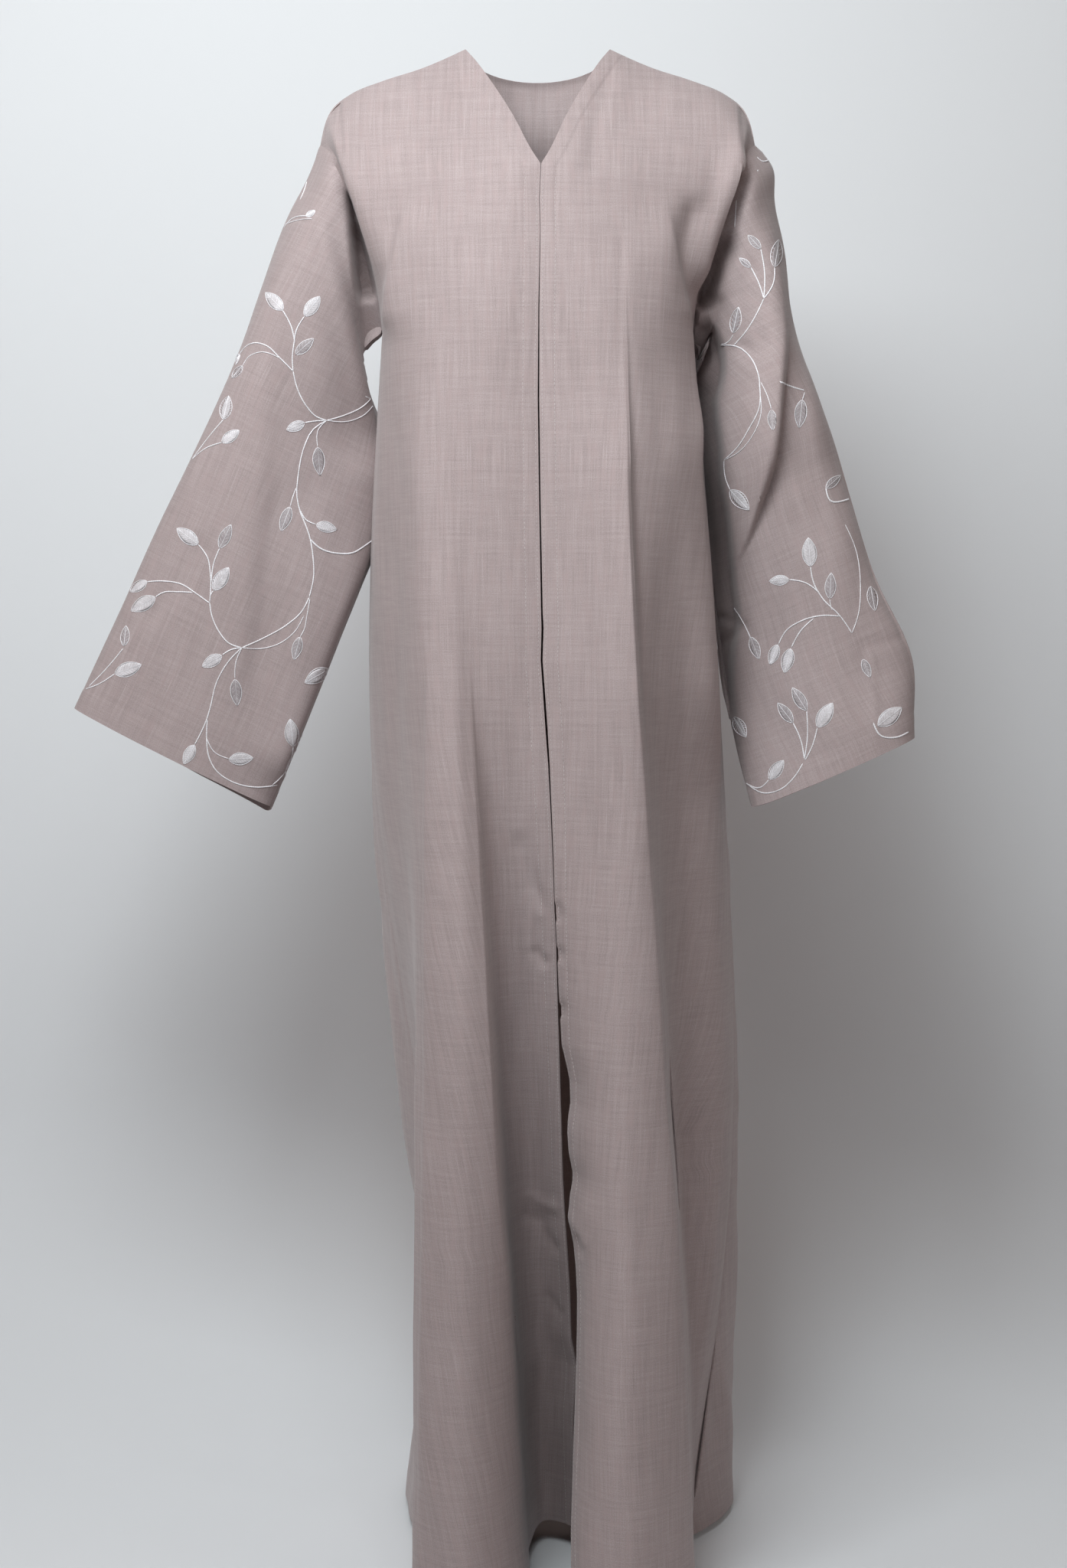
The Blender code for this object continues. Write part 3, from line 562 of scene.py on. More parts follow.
def hermite(start: Array, end: Array, leave: Array, arrive: Array, t: Array) -> Array:
    """Points on the cubic between two points with given end slopes.

    Args:
        start: Where it starts.
        end: Where it ends.
        leave: Its slope at the start.
        arrive: Its slope at the end.
        t: Parameters from 0 to 1.

    Returns:
        A point for each parameter.
    """
    t2 = t * t
    t3 = t2 * t
    ends = (2 * t3 - 3 * t2 + 1) * start + (3 * t2 - 2 * t3) * end
    return ends + (t3 - 2 * t2 + t) * leave + (t3 - t2) * arrive


def curve_through(knots: Values, values: Values, at: Values) -> Array:
    """Values of a smooth curve through given values.

    Args:
        knots: Rising parameters of the given values.
        values: One row of numbers for each knot.
        at: The parameters wanted.

    Returns:
        One row for each parameter wanted.
    """
    knots, values, at = (np.asarray(given, float) for given in (knots, values, at))
    tangents = slopes(knots, values)
    index = np.clip(np.searchsorted(knots, at, side="right") - 1, 0, len(knots) - 2)
    after = index + 1
    width = (knots[after] - knots[index])[:, None]
    t = (at - knots[index])[:, None] / width
    return hermite(values[index], values[after], tangents[index] * width, tangents[after] * width, t)


def lengths_along(points: Array) -> Array:
    """The distance from the first point along a polyline, at each of its points."""
    steps = np.linalg.norm(np.diff(points, axis=0), axis=1)
    return np.concatenate([[0.0], np.cumsum(steps)])


def by_length(points: Values, steps: int) -> Array:
    """Evenly spread points on a smooth curve.

    Args:
        points: The points that it passes through.
        steps: How many steps it is divided into.

    Returns:
        steps + 1 points.
    """
    points = np.asarray(points, float)
    lengths = lengths_along(points)
    return curve_through(lengths / lengths[-1], points, shares_of(steps))


def resampled(values: Array, along: Array, at: Array) -> Array:
    """Values at other distances along a line.

    Args:
        values: One row for each point of the line.
        along: The distance of each point.
        at: The distances wanted.

    Returns:
        One row for each distance wanted.
    """
    return np.column_stack([np.interp(at, along, column) for column in values.T])


def ease(t: Values) -> Array:
    """0 to 1 with level ends."""
    t = np.clip(t, 0.0, 1.0)
    return t * t * (3.0 - 2.0 * t)


def shares_of(steps: int) -> Array:
    """0 to 1 in even steps."""
    return np.linspace(0.0, 1.0, steps + 1)


def rising(values: Array, climb: Pair) -> Array:
    """0 up to the climb's start, and 1 beyond its reach."""
    return ease((values - climb[0]) / climb[1])


def bump(distance: Array, place: float | Array, width: float) -> Array:
    """A smooth swell of height 1 at a place."""
    return np.exp(-(((distance - place) / width) ** 2))


def unit(vectors: Array) -> Array:
    """The vectors, each made 1 long."""
    return vectors / np.maximum(np.linalg.norm(vectors, axis=-1, keepdims=True), 1e-12)


def seam_line(points: Sequence[Point], side: Side) -> Array:
    """World points of a seam that is given for one half."""
    return np.array([(side.value * p.out, p.back, p.up) for p in points])


def seam(points: Sequence[Point], side: Side, steps: int) -> Array:
    """Evenly spread points on a seam that is given for one half."""
    return by_length(seam_line(points, side), steps)


def nearest_on(line: Array, points: Array) -> tuple[Array, Array, Array]:
    """Finds where points lie beside a line.

    Args:
        line: The line's own points.
        points: The points, in an array of any shape that ends in 2.

    Returns:
        The distance of each from the line, a number that is above zero at the viewer's left of a line
        that runs down, and the share of the line at its nearest place.
    """
    best = np.full(points.shape[:-1], np.inf)
    signed, along = np.zeros_like(best), np.zeros_like(best)
    for step, (start, end) in enumerate(zip(line[:-1], line[1:])):
        way = end - start
        offset = points - start
        share = np.clip(offset @ way / (way @ way), 0.0, 1.0)
        away = np.linalg.norm(offset - share[..., None] * way, axis=-1)
        nearer = away < best
        best = np.where(nearer, away, best)
        signed = np.where(nearer, way[0] * offset[..., 1] - way[1] * offset[..., 0], signed)
        along = np.where(nearer, (step + share) / (len(line) - 1), along)
    return best, signed, along


def placed(name: str, data: Any) -> bpy.types.Object:
    """Puts an object in the scene.

    Args:
        name: What it is called.
        data: Its mesh, light or camera.

    Returns:
        The object.
    """
    made = bpy.data.objects.new(name, data)
    bpy.context.scene.collection.objects.link(made)
    return made


@dataclass(frozen=True)
class Viewpoint:
    """The camera: where it stands, how it is pitched, and how it turns points into pixels."""

    location: Place = (-0.004, -2.6, -0.5426)
    pitch: float = math.radians(-3.7)
    lens: float = 60.94
    sensor: float = 36.0
    wide: int = 1394
    high: int = 2048
    far: float = 50.0

    def axes(self) -> tuple[Array, Array, Array]:
        """The view's right, up and forward directions."""
        cosine, sine = math.cos(self.pitch), math.sin(self.pitch)
        return np.array([1.0, 0.0, 0.0]), np.array([0.0, -sine, cosine]), np.array([0.0, cosine, sine])

    def pixels_per_slope(self) -> float:
        """How many pixels a slope of 1 covers."""
        return self.high * self.lens / self.sensor

    def project(self, points: Array) -> Array:
        """Turns points into the view.

        Args:
            points: World points in an array of any shape that ends in 3.

        Returns:
            Pixels across, pixels down and depth, in the same shape.
        """
        right, up, forward = self.axes()
        offset = points - np.array(self.location)
        depth = offset @ forward
        scale = self.pixels_per_slope() / depth
        across = self.wide / 2 + (offset @ right) * scale
        down = self.high / 2 - (offset @ up) * scale
        return np.stack([across, down, depth], axis=-1)

    def towards(self, across: float, down: float) -> Vector:
        """Finds the way to a point of the view.

        Args:
            across: Its pixels across.
            down: Its pixels down.

        Returns:
            The direction from the camera through it.
        """
        right, up, forward = self.axes()
        scale = self.pixels_per_slope()
        way = forward + right * (across - self.wide / 2) / scale - up * (down - self.high / 2) / scale
        return Vector(way).normalized()

    def camera(self) -> None:
        """Makes the scene's camera."""
        data = bpy.data.cameras.new("view")
        data.lens = self.lens
        data.sensor_width = self.sensor
        data.clip_end = self.far
        camera = placed("view", data)
        camera.location = self.location
        camera.rotation_euler = (math.pi / 2 + self.pitch, 0.0, 0.0)
        bpy.context.scene.camera = camera


VIEW = Viewpoint()


@dataclass
class Grid:
    """A sheet of points in rows and columns, whose columns may join up into a tube."""

    points: Array
    closed: bool = False
    flip: bool = False

    def normals(self) -> Array:
        """Finds the outward direction at each point.

        Returns:
            Directions in the shape of the points.
        """
        if self.closed:
            across = np.roll(self.points, -1, axis=1) - np.roll(self.points, 1, axis=1)
        else:
            across = np.gradient(self.points, axis=1)
        down = np.gradient(self.points, axis=0)
        return unit(np.cross(across, down)) * (-1.0 if self.flip else 1.0)

    def looped(self) -> Array:
        """The points, with a tube's first column again at its end."""
        return np.concatenate([self.points, self.points[:, :1]], axis=1) if self.closed else self.points

    def across(self) -> Array:
        """The distance along its row to each point, a tube's first column counted again at the end."""
        steps = np.linalg.norm(np.diff(self.looped(), axis=1), axis=-1)
        return np.pad(np.cumsum(steps, axis=1), ((0, 0), (1, 0)))

    def down(self) -> Array:
        """The distance down its column to each point, in the shape that across() has."""
        steps = np.linalg.norm(np.diff(self.looped(), axis=0), axis=-1)
        return np.pad(np.cumsum(steps, axis=0), ((1, 0), (0, 0)))

    def raised(self, heights: Array) -> "Grid":
        """The same sheet with each point moved outwards by its height."""
        return Grid(self.points + heights[..., None] * self.normals(), self.closed, self.flip)

    def pushed(self, heights: Array) -> "Grid":
        """The same sheet with each point moved straight forwards by its height."""
        return Grid(self.points + heights[..., None] * FORWARDS, self.closed, self.flip)

    def quads(self) -> Array:
        """Finds the corners of the sheet's cells.

        Returns:
            Four indices for each cell, row by row.
        """
        rows, columns = self.points.shape[:2]
        cells = columns if self.closed else columns - 1
        r, c = np.meshgrid(np.arange(rows - 1), np.arange(cells), indexing="ij")
        after = (c + 1) % columns
        corners = (r * columns + c, r * columns + after, (r + 1) * columns + after, (r + 1) * columns + c)
        return np.stack(corners, axis=-1).reshape(-1, 4)

    def area(self) -> float:
        """Adds up the sheet's cells.

        Returns:
            Its area.
        """
        points = self.looped()
        one = points[1:, 1:] - points[:-1, :-1]
        other = points[1:, :-1] - points[:-1, 1:]
        return float(np.linalg.norm(np.cross(one, other), axis=-1).sum() / 2)


@dataclass(frozen=True)
class Pattern:
    """Draws the cut pieces as sheets of points, at a pitch that each piece chooses.

    The three `leaves` say how the cloth leaves its top line. A seam pulls a yoke into line over its
    `reach`, a soft roll stands out before the armhole, and the back's depth is evened across it.
    """

    columns: int = 160
    neck_columns: int = 24
    yoke_rows: int = 84
    skirt_rows: int = 290
    rings: int = 120
    shin: float = -1.240
    shin_reach: float = 0.150
    front_leaves: Place = (0.0, -0.200, -0.130)
    back_leaves: Place = (0.0, 0.160, -0.120)
    neck_leaves: Place = (0.0, 0.075, -0.200)
    neck_blend: float = 3.0
    neck_reach: float = 0.70
    armhole_reach: float = 0.45
    roll: float = 0.006
    left_roll: float = 0.011
    roll_place: float = 0.88
    roll_width: float = 0.09
    roll_swell: float = 0.70
    roll_end: float = 0.05
    evening: float = 0.11
    evening_drop: float = 0.30
    evening_margin: float = 0.12
    neck_depth: float = 0.055
    neck_drop: float = -0.022
    centre: float = 0.0028
    clearance: float = 0.0010
    sleeve_leaves: float = 0.75
    ring_fulness: float = 0.80
    fold_step: float = 0.075

    def skirt(self, ribs: Sequence[Rib], columns: int) -> tuple[Array, Array]:
        """Draws a panel from the underarm to the hem.

        Args:
            ribs: The panel's fold lines.
            columns: Steps across the panel.

        Returns:
            The rows of points, and their slope at the underarm.
        """
        shares = [rib.share for rib in ribs]
        at = shares_of(columns)
        levels = zip(*[rib.places() for rib in ribs])
        sections = np.array([curve_through(shares, places, at) for places in levels])
        lift, tuck = curve_through(shares, [(rib.lift, rib.tuck) for rib in ribs], at).T
        depth = -np.array(LEVELS)
        flat = sections.reshape(len(LEVELS), -1)
        heights = np.linspace(depth[0], depth[-1], self.skirt_rows + 1)
        grid = np.empty((self.skirt_rows + 1, columns + 1, 3))
        grid[..., :2] = curve_through(depth, flat, heights).reshape(self.skirt_rows + 1, -1, 2)
        fall = (heights - depth[0]) / (depth[-1] - depth[0])
        grid[..., 2] = -heights[:, None] + ease(fall)[:, None] * lift
        grid[..., 0] += bump(heights, -self.shin, self.shin_reach)[:, None] * tuck
        start = slopes(depth, flat)[0].reshape(-1, 2)
        return grid, np.column_stack([start, np.full(len(start), -1.0)])

    def yoke(
        self, top: Array, leaves: Array, bottom: Array, slope: Array, left: Array, right: Array
    ) -> Array:
        """Draws a panel from its top line down to the underarm.

        Args:
            top: Points of the top line.
            leaves: How the cloth leaves it.
            bottom: Points of the underarm line.
            slope: How the cloth arrives there.
            left: Points of the side line at the first column.
            right: Points of the side line at the last column.

        Returns:
            The rows of points.
        """
        arrive = slope * (top[:, 2] - bottom[:, 2])[:, None]
        t = shares_of(self.yoke_rows)[:, None, None]
        grid = hermite(top[None], bottom[None], leaves[None], arrive[None], t)
        across = shares_of(len(top) - 1)
        to_left = 1.0 - ease(across / self.neck_reach)
        to_right = ease((across - 1.0 + self.armhole_reach) / self.armhole_reach)
        off_left = left - grid[:, 0]
        off_right = right - grid[:, -1]
        return grid + off_left[:, None] * to_left[:, None] + off_right[:, None] * to_right[:, None]

    def front(self, side: Side, ribs: Sequence[Rib]) -> Array:
        """Draws a front from its shoulder seam to the hem, its columns running out from the front edge.

        Args:
            side: The wearer's side.
            ribs: The front's fold lines.

        Returns:
            The rows of points.
        """
        lower, slope = self.skirt(ribs, self.columns)
        top = seam(SHOULDER_SEAM, side, self.columns)
        neck = seam_line(NECKLINE, side)
        neck[:, 0] += (self.centre + side.value * self.clearance / 2) * ease(shares_of(len(neck) - 1))
        half = self.yoke_rows // 2
        neckline = by_length(neck, half)
        drop = neckline[-1, 2] - LEVELS[0]
        t = shares_of(self.yoke_rows - half)[1:, None]
        edge = hermite(neckline[-1], lower[0, 0], lower[0, 0] - neckline[-1], slope[0] * drop, t)
        right = seam(FRONT_ARMHOLE, side, self.yoke_rows)
        bottom = lower[0].copy()
        bottom[-1] = right[-1]
        leaves = np.tile(self.front_leaves, (len(top), 1))
        upper = self.yoke(top, leaves, bottom, slope, np.vstack([neckline, edge]), right)
        upper += self.shoulder_roll(side)
        lower[0] = upper[-1]
        return np.concatenate([upper, lower[1:]])

    def shoulder_roll(self, side: Side) -> Array:
        """Works out the soft roll in which a yoke stands out before its armhole seam.

        Args:
            side: The wearer's side.

        Returns:
            The step by which each point of the yoke moves.
        """
        down = shares_of(self.yoke_rows)[:, None]
        across = shares_of(self.columns)[None]
        weight = np.sin(math.pi * down ** self.roll_swell) ** 2
        weight = weight * bump(across, self.roll_place, self.roll_width)
        weight = weight * np.clip((1.0 - across) / self.roll_end, 0.0, 1.0)
        out = self.left_roll if side is Side.LEFT else self.roll
        return weight[..., None] * np.array([side.value * out, -self.roll, 0.0])

    def back(self) -> Array:
        """Draws the one-piece back, its columns running from the wearer's right to the left.

        Returns:
            The rows of points.
        """
        columns = 2 * self.columns + self.neck_columns
        lower, slope = self.skirt(BACK_RIBS, columns)
        shoulder_right = seam(SHOULDER_SEAM, Side.RIGHT, self.columns)[::-1]
        shoulder_left = seam(SHOULDER_SEAM, Side.LEFT, self.columns)
        turn = np.linspace(math.pi, 0.0, self.neck_columns + 1)[1:-1]
        neck = np.column_stack([
            NECK_POINT.out * np.cos(turn),
            NECK_POINT.back + (self.neck_depth - NECK_POINT.back) * np.sin(turn),
            self.neck_drop * np.sin(turn),
        ])
        top = np.vstack([shoulder_right, neck, shoulder_left])
        from_middle = np.abs(np.arange(columns + 1) - columns / 2) / (self.neck_columns / 2)
        on_neck = (1.0 - ease(from_middle / self.neck_blend))[:, None]
        leaves = on_neck * np.array(self.neck_leaves) + (1.0 - on_neck) * np.array(self.back_leaves)
        right_side = seam(BACK_ARMHOLE, Side.RIGHT, self.yoke_rows)
        left_side = seam(BACK_ARMHOLE, Side.LEFT, self.yoke_rows)
        bottom = lower[0].copy()
        bottom[0] = right_side[-1]
        bottom[-1] = left_side[-1]
        upper = self.drawn_even(self.yoke(top, leaves, bottom, slope, right_side, left_side))
        lower[0] = upper[-1]
        return np.concatenate([upper, lower[1:]])

    def drawn_even(self, grid: Array) -> Array:
        """Evens the depth of the back's yoke across each row.

        Args:
            grid: The yoke's rows of points.

        Returns:
            The rows with their outline left as it is.
        """
        down, across = (shares_of(count - 1) for count in grid.shape[:2])
        near = bump(across[:, None], across[None], self.evening)
        evened = grid[..., 1] @ (near / near.sum(axis=0))
        from_side = np.minimum(across, 1.0 - across)
        weight = ease(down / self.evening_drop)[:, None] * ease(from_side / self.evening_margin - 1.0)
        weight = weight * ease((1.0 - down) / self.evening_drop)[:, None]
        result = grid.copy()
        result[..., 1] += weight * (evened - grid[..., 1])
        return result

    def sleeve(self, side: Side, stations: Sequence[Station], fold: Sequence[Ridge]) -> Array:
        """Draws a sleeve in rings from the armhole, its columns going from the underarm up the front.

        Args:
            side: The wearer's side.
            stations: The sleeve's sections.
            fold: The line of its deep fold, if it has one.

        Returns:
            The rings of points.
        """
        front = seam(FRONT_ARMHOLE, side, self.yoke_rows)
        back = seam(BACK_ARMHOLE, side, self.yoke_rows)
        armhole = np.concatenate([front[:0:-1], back[:-1]])
        count = len(armhole)
        turn = np.arange(count) * TURN / count
        across = (1.0 + np.cos(turn)) / 2.0
        stand = np.sign(np.sin(turn)) * np.abs(np.sin(turn)) ** self.ring_fulness
        shares = [0.0] + [s.share for s in stations]
        rows = np.column_stack([
            [tuple(armhole[count // 2])] + [s.outer for s in stations],
            [tuple(armhole[0])] + [s.inner for s in stations],
            [-armhole[:, 1].min()] + [s.front for s in stations],
            [armhole[:, 1].max()] + [s.back for s in stations],
        ])
        at = shares_of(self.rings)
        rings = []
        for share, row in zip(at, curve_through(shares, rows, at)):
            base = row[:3] + across[:, None] * (row[3:6] - row[:3])
            forward = np.where(stand > 0.0, row[6] * stand, row[7] * stand)
            forward = forward + self.fold_height(fold, share, across) * np.clip(stand, 0.0, 1.0)
            rings.append(base + forward[:, None] * FORWARDS)
        settle = ease(1.0 - at / self.sleeve_leaves) ** 3
        return np.array(rings) + settle[:, None, None] * (armhole - rings[0])

    def fold_height(self, fold: Sequence[Ridge], share: float, across: Array) -> Array:
        """Works out how far a sleeve's front stands out on the inner side of its deep fold.

        Args:
            fold: The line of the fold.
            share: The ring's share of the sleeve's length.
            across: The places of its points across it.

        Returns:
            A height for each point.
        """
        if not fold or share >= fold[-1].share:
            return np.zeros_like(across)
        heights = [(r.across, r.height) for r in fold]
        place, height = curve_through([r.share for r in fold], heights, [share])[0]
        return ease((across - place) / self.fold_step + 0.5) * max(height, 0.0)


@dataclass(frozen=True)
class Ripples:
    """The low swells of hanging cloth: a fixed set of waves, long in the way that it hangs."""

    seed: int
    height: float = 0.0009
    waves: int = 9
    narrow: float = 0.050
    wide: float = 0.150
    stretch: float = 4.0
    lean: float = 0.18

    def heights(self, across: Array, down: Array) -> Array:
        """How far the cloth swells out.

        Args:
            across: Distances across the cloth.
            down: Distances down the cloth.

        Returns:
            Heights in the same shape.
        """
        draw = np.random.default_rng(self.seed)
        result = np.zeros_like(across)
        for _ in range(self.waves):
            length = draw.uniform(self.narrow, self.wide)
            lean = draw.normal(0.0, self.lean)
            start = draw.uniform(0.0, TURN, 2)
            wave = np.cos(TURN * (across + lean * down) / length + start[0])
            beat = np.cos(TURN * down / (length * self.stretch) + start[1])
            result += wave * beat
        return result * self.height / math.sqrt(self.waves)


@dataclass(frozen=True)
class Creasing:
    """Draws creases along lines of the view, on cloth that faces it."""

    facing_gain: float = 5.0
    facing_start: float = 0.3
    least_steps: int = 12

    def heights(self, grid: Grid, creases: Sequence[Crease]) -> Array:
        """How far a set of creases moves each point.

        Args:
            grid: The sheet of cloth.
            creases: The creases.

        Returns:
            Heights in the sheet's rows and columns.
        """
        seen = VIEW.project(grid.points)
        towards = unit(np.array(VIEW.location) - grid.points)
        facing = ease((grid.normals() * towards).sum(axis=-1) * self.facing_gain + self.facing_start)
        metres = seen[..., 2] / VIEW.pixels_per_slope()
        result = np.zeros(grid.points.shape[:2])
        for crease in creases:
            line = by_length(crease.line, max(self.least_steps, 2 * len(crease.line)))
            away, signed, along = nearest_on(line, seen[..., :2])
            width = np.where(signed > 0.0, crease.left, crease.right) * MM
            fading = ease(along / crease.fade) * ease((1.0 - along) / crease.fade)
            power = 1.0 if crease.pointed else 2.0
            result += crease.height * MM * fading * np.exp(-((away * metres / width) ** power))
        return result * facing


@dataclass(frozen=True)
class PressedSeam:
    """The soft swell of the turnings beside a pressed seam."""

    rise: float = 0.0006
    place: float = 0.0060
    width: float = 0.0045

    def relief(self, distance: Array) -> Array:
        """How far the cloth stands out at a distance from the seam."""
        return self.rise * bump(distance, self.place, self.width)


@dataclass(frozen=True)
class TurnedEdge:
    """The second layer of a hem or a facing, and the groove that its sewing draws."""

    depth: float
    rise: float
    blend: float
    groove: float = 0.0003
    groove_width: float = 0.003

    def relief(self, distance: Array) -> Array:
        """How far the cloth stands out at a distance from the edge."""
        layer = self.rise * (1.0 - ease((distance - self.depth) / self.blend + 0.5))
        return layer - self.groove * bump(distance, self.depth, self.groove_width)


@dataclass
class MeshParts:
    """Gathers flattened tubes, and makes them one mesh object."""

    points: list[Array] = field(default_factory=list)
    faces: list[list[int]] = field(default_factory=list)
    finishes: list[int] = field(default_factory=list)
    count: int = 0
    lift: float = 0.35

    def cord(
        self, line: Array, normals: Array, wide: Values | float, high: Values | float,
        sides: int = 5, thread: Thread = Thread.BRIGHT,
    ) -> None:
        """Adds a flattened tube that lies on a surface.

        Args:
            line: Its points, on the surface.
            normals: The surface's outward direction at each.
            wide: Half its width, at each or all along.
            high: Half its height, at each or all along.
            sides: How many sides it has.
            thread: Which of the object's threads it is.
        """
        wide, high = np.broadcast_to(wide, len(line)), np.broadcast_to(high, len(line))
        along = unit(np.gradient(line, axis=0))
        beside = unit(np.cross(along, normals))
        turn = np.arange(sides) * TURN / sides + TURN / 4
        middle = line + normals * high[:, None] * self.lift
        rings = (
            middle[:, None]
            + beside[:, None] * (wide[:, None] * np.cos(turn))[..., None]
            + normals[:, None] * (high[:, None] * np.sin(turn))[..., None]
        )
        last = (len(line) - 1) * sides
        faces = Grid(rings, closed=True).quads()[:, ::-1].tolist()
        faces += [list(range(sides)), list(range(last, last + sides))[::-1]]
        self.points.append(rings.reshape(-1, 3))
        self.faces += [[corner + self.count for corner in face] for face in faces]
        self.finishes += [thread.value] * len(faces)
        self.count += len(line) * sides

    def build(self, name: str, materials: Sequence[bpy.types.Material]) -> bpy.types.Object:
        """Makes the object.

        Args:
            name: The piece's name.
            materials: Its materials.

        Returns:
            The new object, in the scene.
        """
        mesh = bpy.data.meshes.new(name)
        mesh.from_pydata(np.vstack(self.points).tolist(), [], self.faces)
        for material in materials:
            mesh.materials.append(material)
        mesh.polygons.foreach_set("material_index", self.finishes)
        mesh.shade_smooth()
        return placed(name, mesh)


@dataclass
class ClothWall:
    """A closed wall of cloth: a sheet, the same sheet moved in by its thickness, and the rims."""

    grid: Grid
    grain: Place
    outwards: Place
    middle: int = 0
    thickness: float = 0.0012
    sharp: float = math.radians(50.0)

    def threads(self) -> Array:
        """Finds the place of each point in the uncut cloth.

        Returns:
            Its distance across the warp from the middle column, and its distance along the warp.
        """
        points, grain = self.grid.looped(), np.array(self.grain)
        steps = np.diff(points, axis=1)
        steps = steps - (steps @ grain)[..., None] * grain
        across = np.pad(np.cumsum(np.linalg.norm(steps, axis=-1), axis=1), ((0, 0), (1, 0)))
        start = points[:, self.middle] @ np.array(self.outwards) - across[:, self.middle]
        return np.stack([across + start[:, None], points @ grain], axis=-1)

    def faces(self) -> tuple[Array, Array]:
        """Lists the wall's faces.

        Returns:
            The corners of each, and the places of those corners in the uncut cloth.
        """
        count = self.grid.points.shape[0] * self.grid.points.shape[1]
        quads, marks = self.grid.quads(), Grid(self.grid.looped()).quads()
        faces, places = [quads, quads[:, ::-1] + count], [marks, marks[:, ::-1]]
        cells = np.arange(len(quads)).reshape(self.grid.points.shape[0] - 1, -1)
        rims = [(cells[0], 1, 0), (cells[-1], 3, 2)]
        if not self.grid.closed:
            rims += [(cells[:, 0], 0, 3), (cells[:, -1], 2, 1)]
        for along, first, second in rims:
            a, b = quads[along, first], quads[along, second]
            faces.append(np.stack([a, b, b + count, a + count], axis=-1))
            a, b = marks[along, first], marks[along, second]
            places.append(np.stack([a, b, b, a], axis=-1))
        order = slice(None, None, -1 if self.grid.flip else 1)
        return np.concatenate(faces)[:, order], np.concatenate(places)[:, order]

    def build(self, name: str, material: bpy.types.Material) -> bpy.types.Object:
        """Makes the wall with its cloth coordinates.

        Args:
            name: The piece's name.
            material: Its cloth.

        Returns:
            The new object, in the scene.
        """
        outer = self.grid.points
        inner = outer - self.thickness * self.grid.normals()
        faces, places = self.faces()
        mesh = bpy.data.meshes.new(name)
        mesh.from_pydata(np.vstack([*outer, *inner]).tolist(), [], faces.tolist())
        threads = self.threads().reshape(-1, 2)
        layer = mesh.uv_layers.new(name=CLOTH_UV)
        layer.data.foreach_set("uv", threads[places.ravel()].ravel().astype(np.float32))
        mesh.materials.append(material)
        mesh.shade_smooth()
        mesh.set_sharp_from_angle(angle=self.sharp)
        return placed(name, mesh)


class Term:
    """A shader socket that takes part in sums."""

    def __init__(self, shader: "Shader", socket: bpy.types.NodeSocket) -> None:
        """Wraps a socket of one of a shader's nodes."""
        self.shader = shader
        self.socket = socket

    def __add__(self, other: "Term | float") -> "Term":
        """The sum."""
        return self.shader.math("ADD", self, other)

    def __radd__(self, other: float) -> "Term":
        """The sum, with the number first."""
        return self.shader.math("ADD", other, self)

    def __sub__(self, other: "Term | float") -> "Term":
        """The difference."""
        return self.shader.math("SUBTRACT", self, other)

    def __rsub__(self, other: float) -> "Term":
        """The difference, with the number first."""
        return self.shader.math("SUBTRACT", other, self)

    def __mul__(self, other: "Term | float") -> "Term":
        """The product."""
        return self.shader.math("MULTIPLY", self, other)

    def __rmul__(self, other: float) -> "Term":
        """The product, with the number first."""
        return self.shader.math("MULTIPLY", other, self)

    def __truediv__(self, other: "Term | float") -> "Term":
        """The quotient."""
        return self.shader.math("DIVIDE", self, other)

    def __rtruediv__(self, other: float) -> "Term":
        """The quotient, with the number first."""
        return self.shader.math("DIVIDE", other, self)

    def ramp(self, low: float, high: float) -> "Term":
        """Eases the value between two limits.

        Args:
            low: Where it is 0.
            high: Where it is 1.

        Returns:
            The eased value.
        """
        settings = {"interpolation_type": "SMOOTHSTEP", "clamp": True}
        inputs = {"Value": self, "From Min": low, "From Max": high, "To Min": 0.0, "To Max": 1.0}
        return self.shader.node("ShaderNodeMapRange", settings, inputs, "Result")


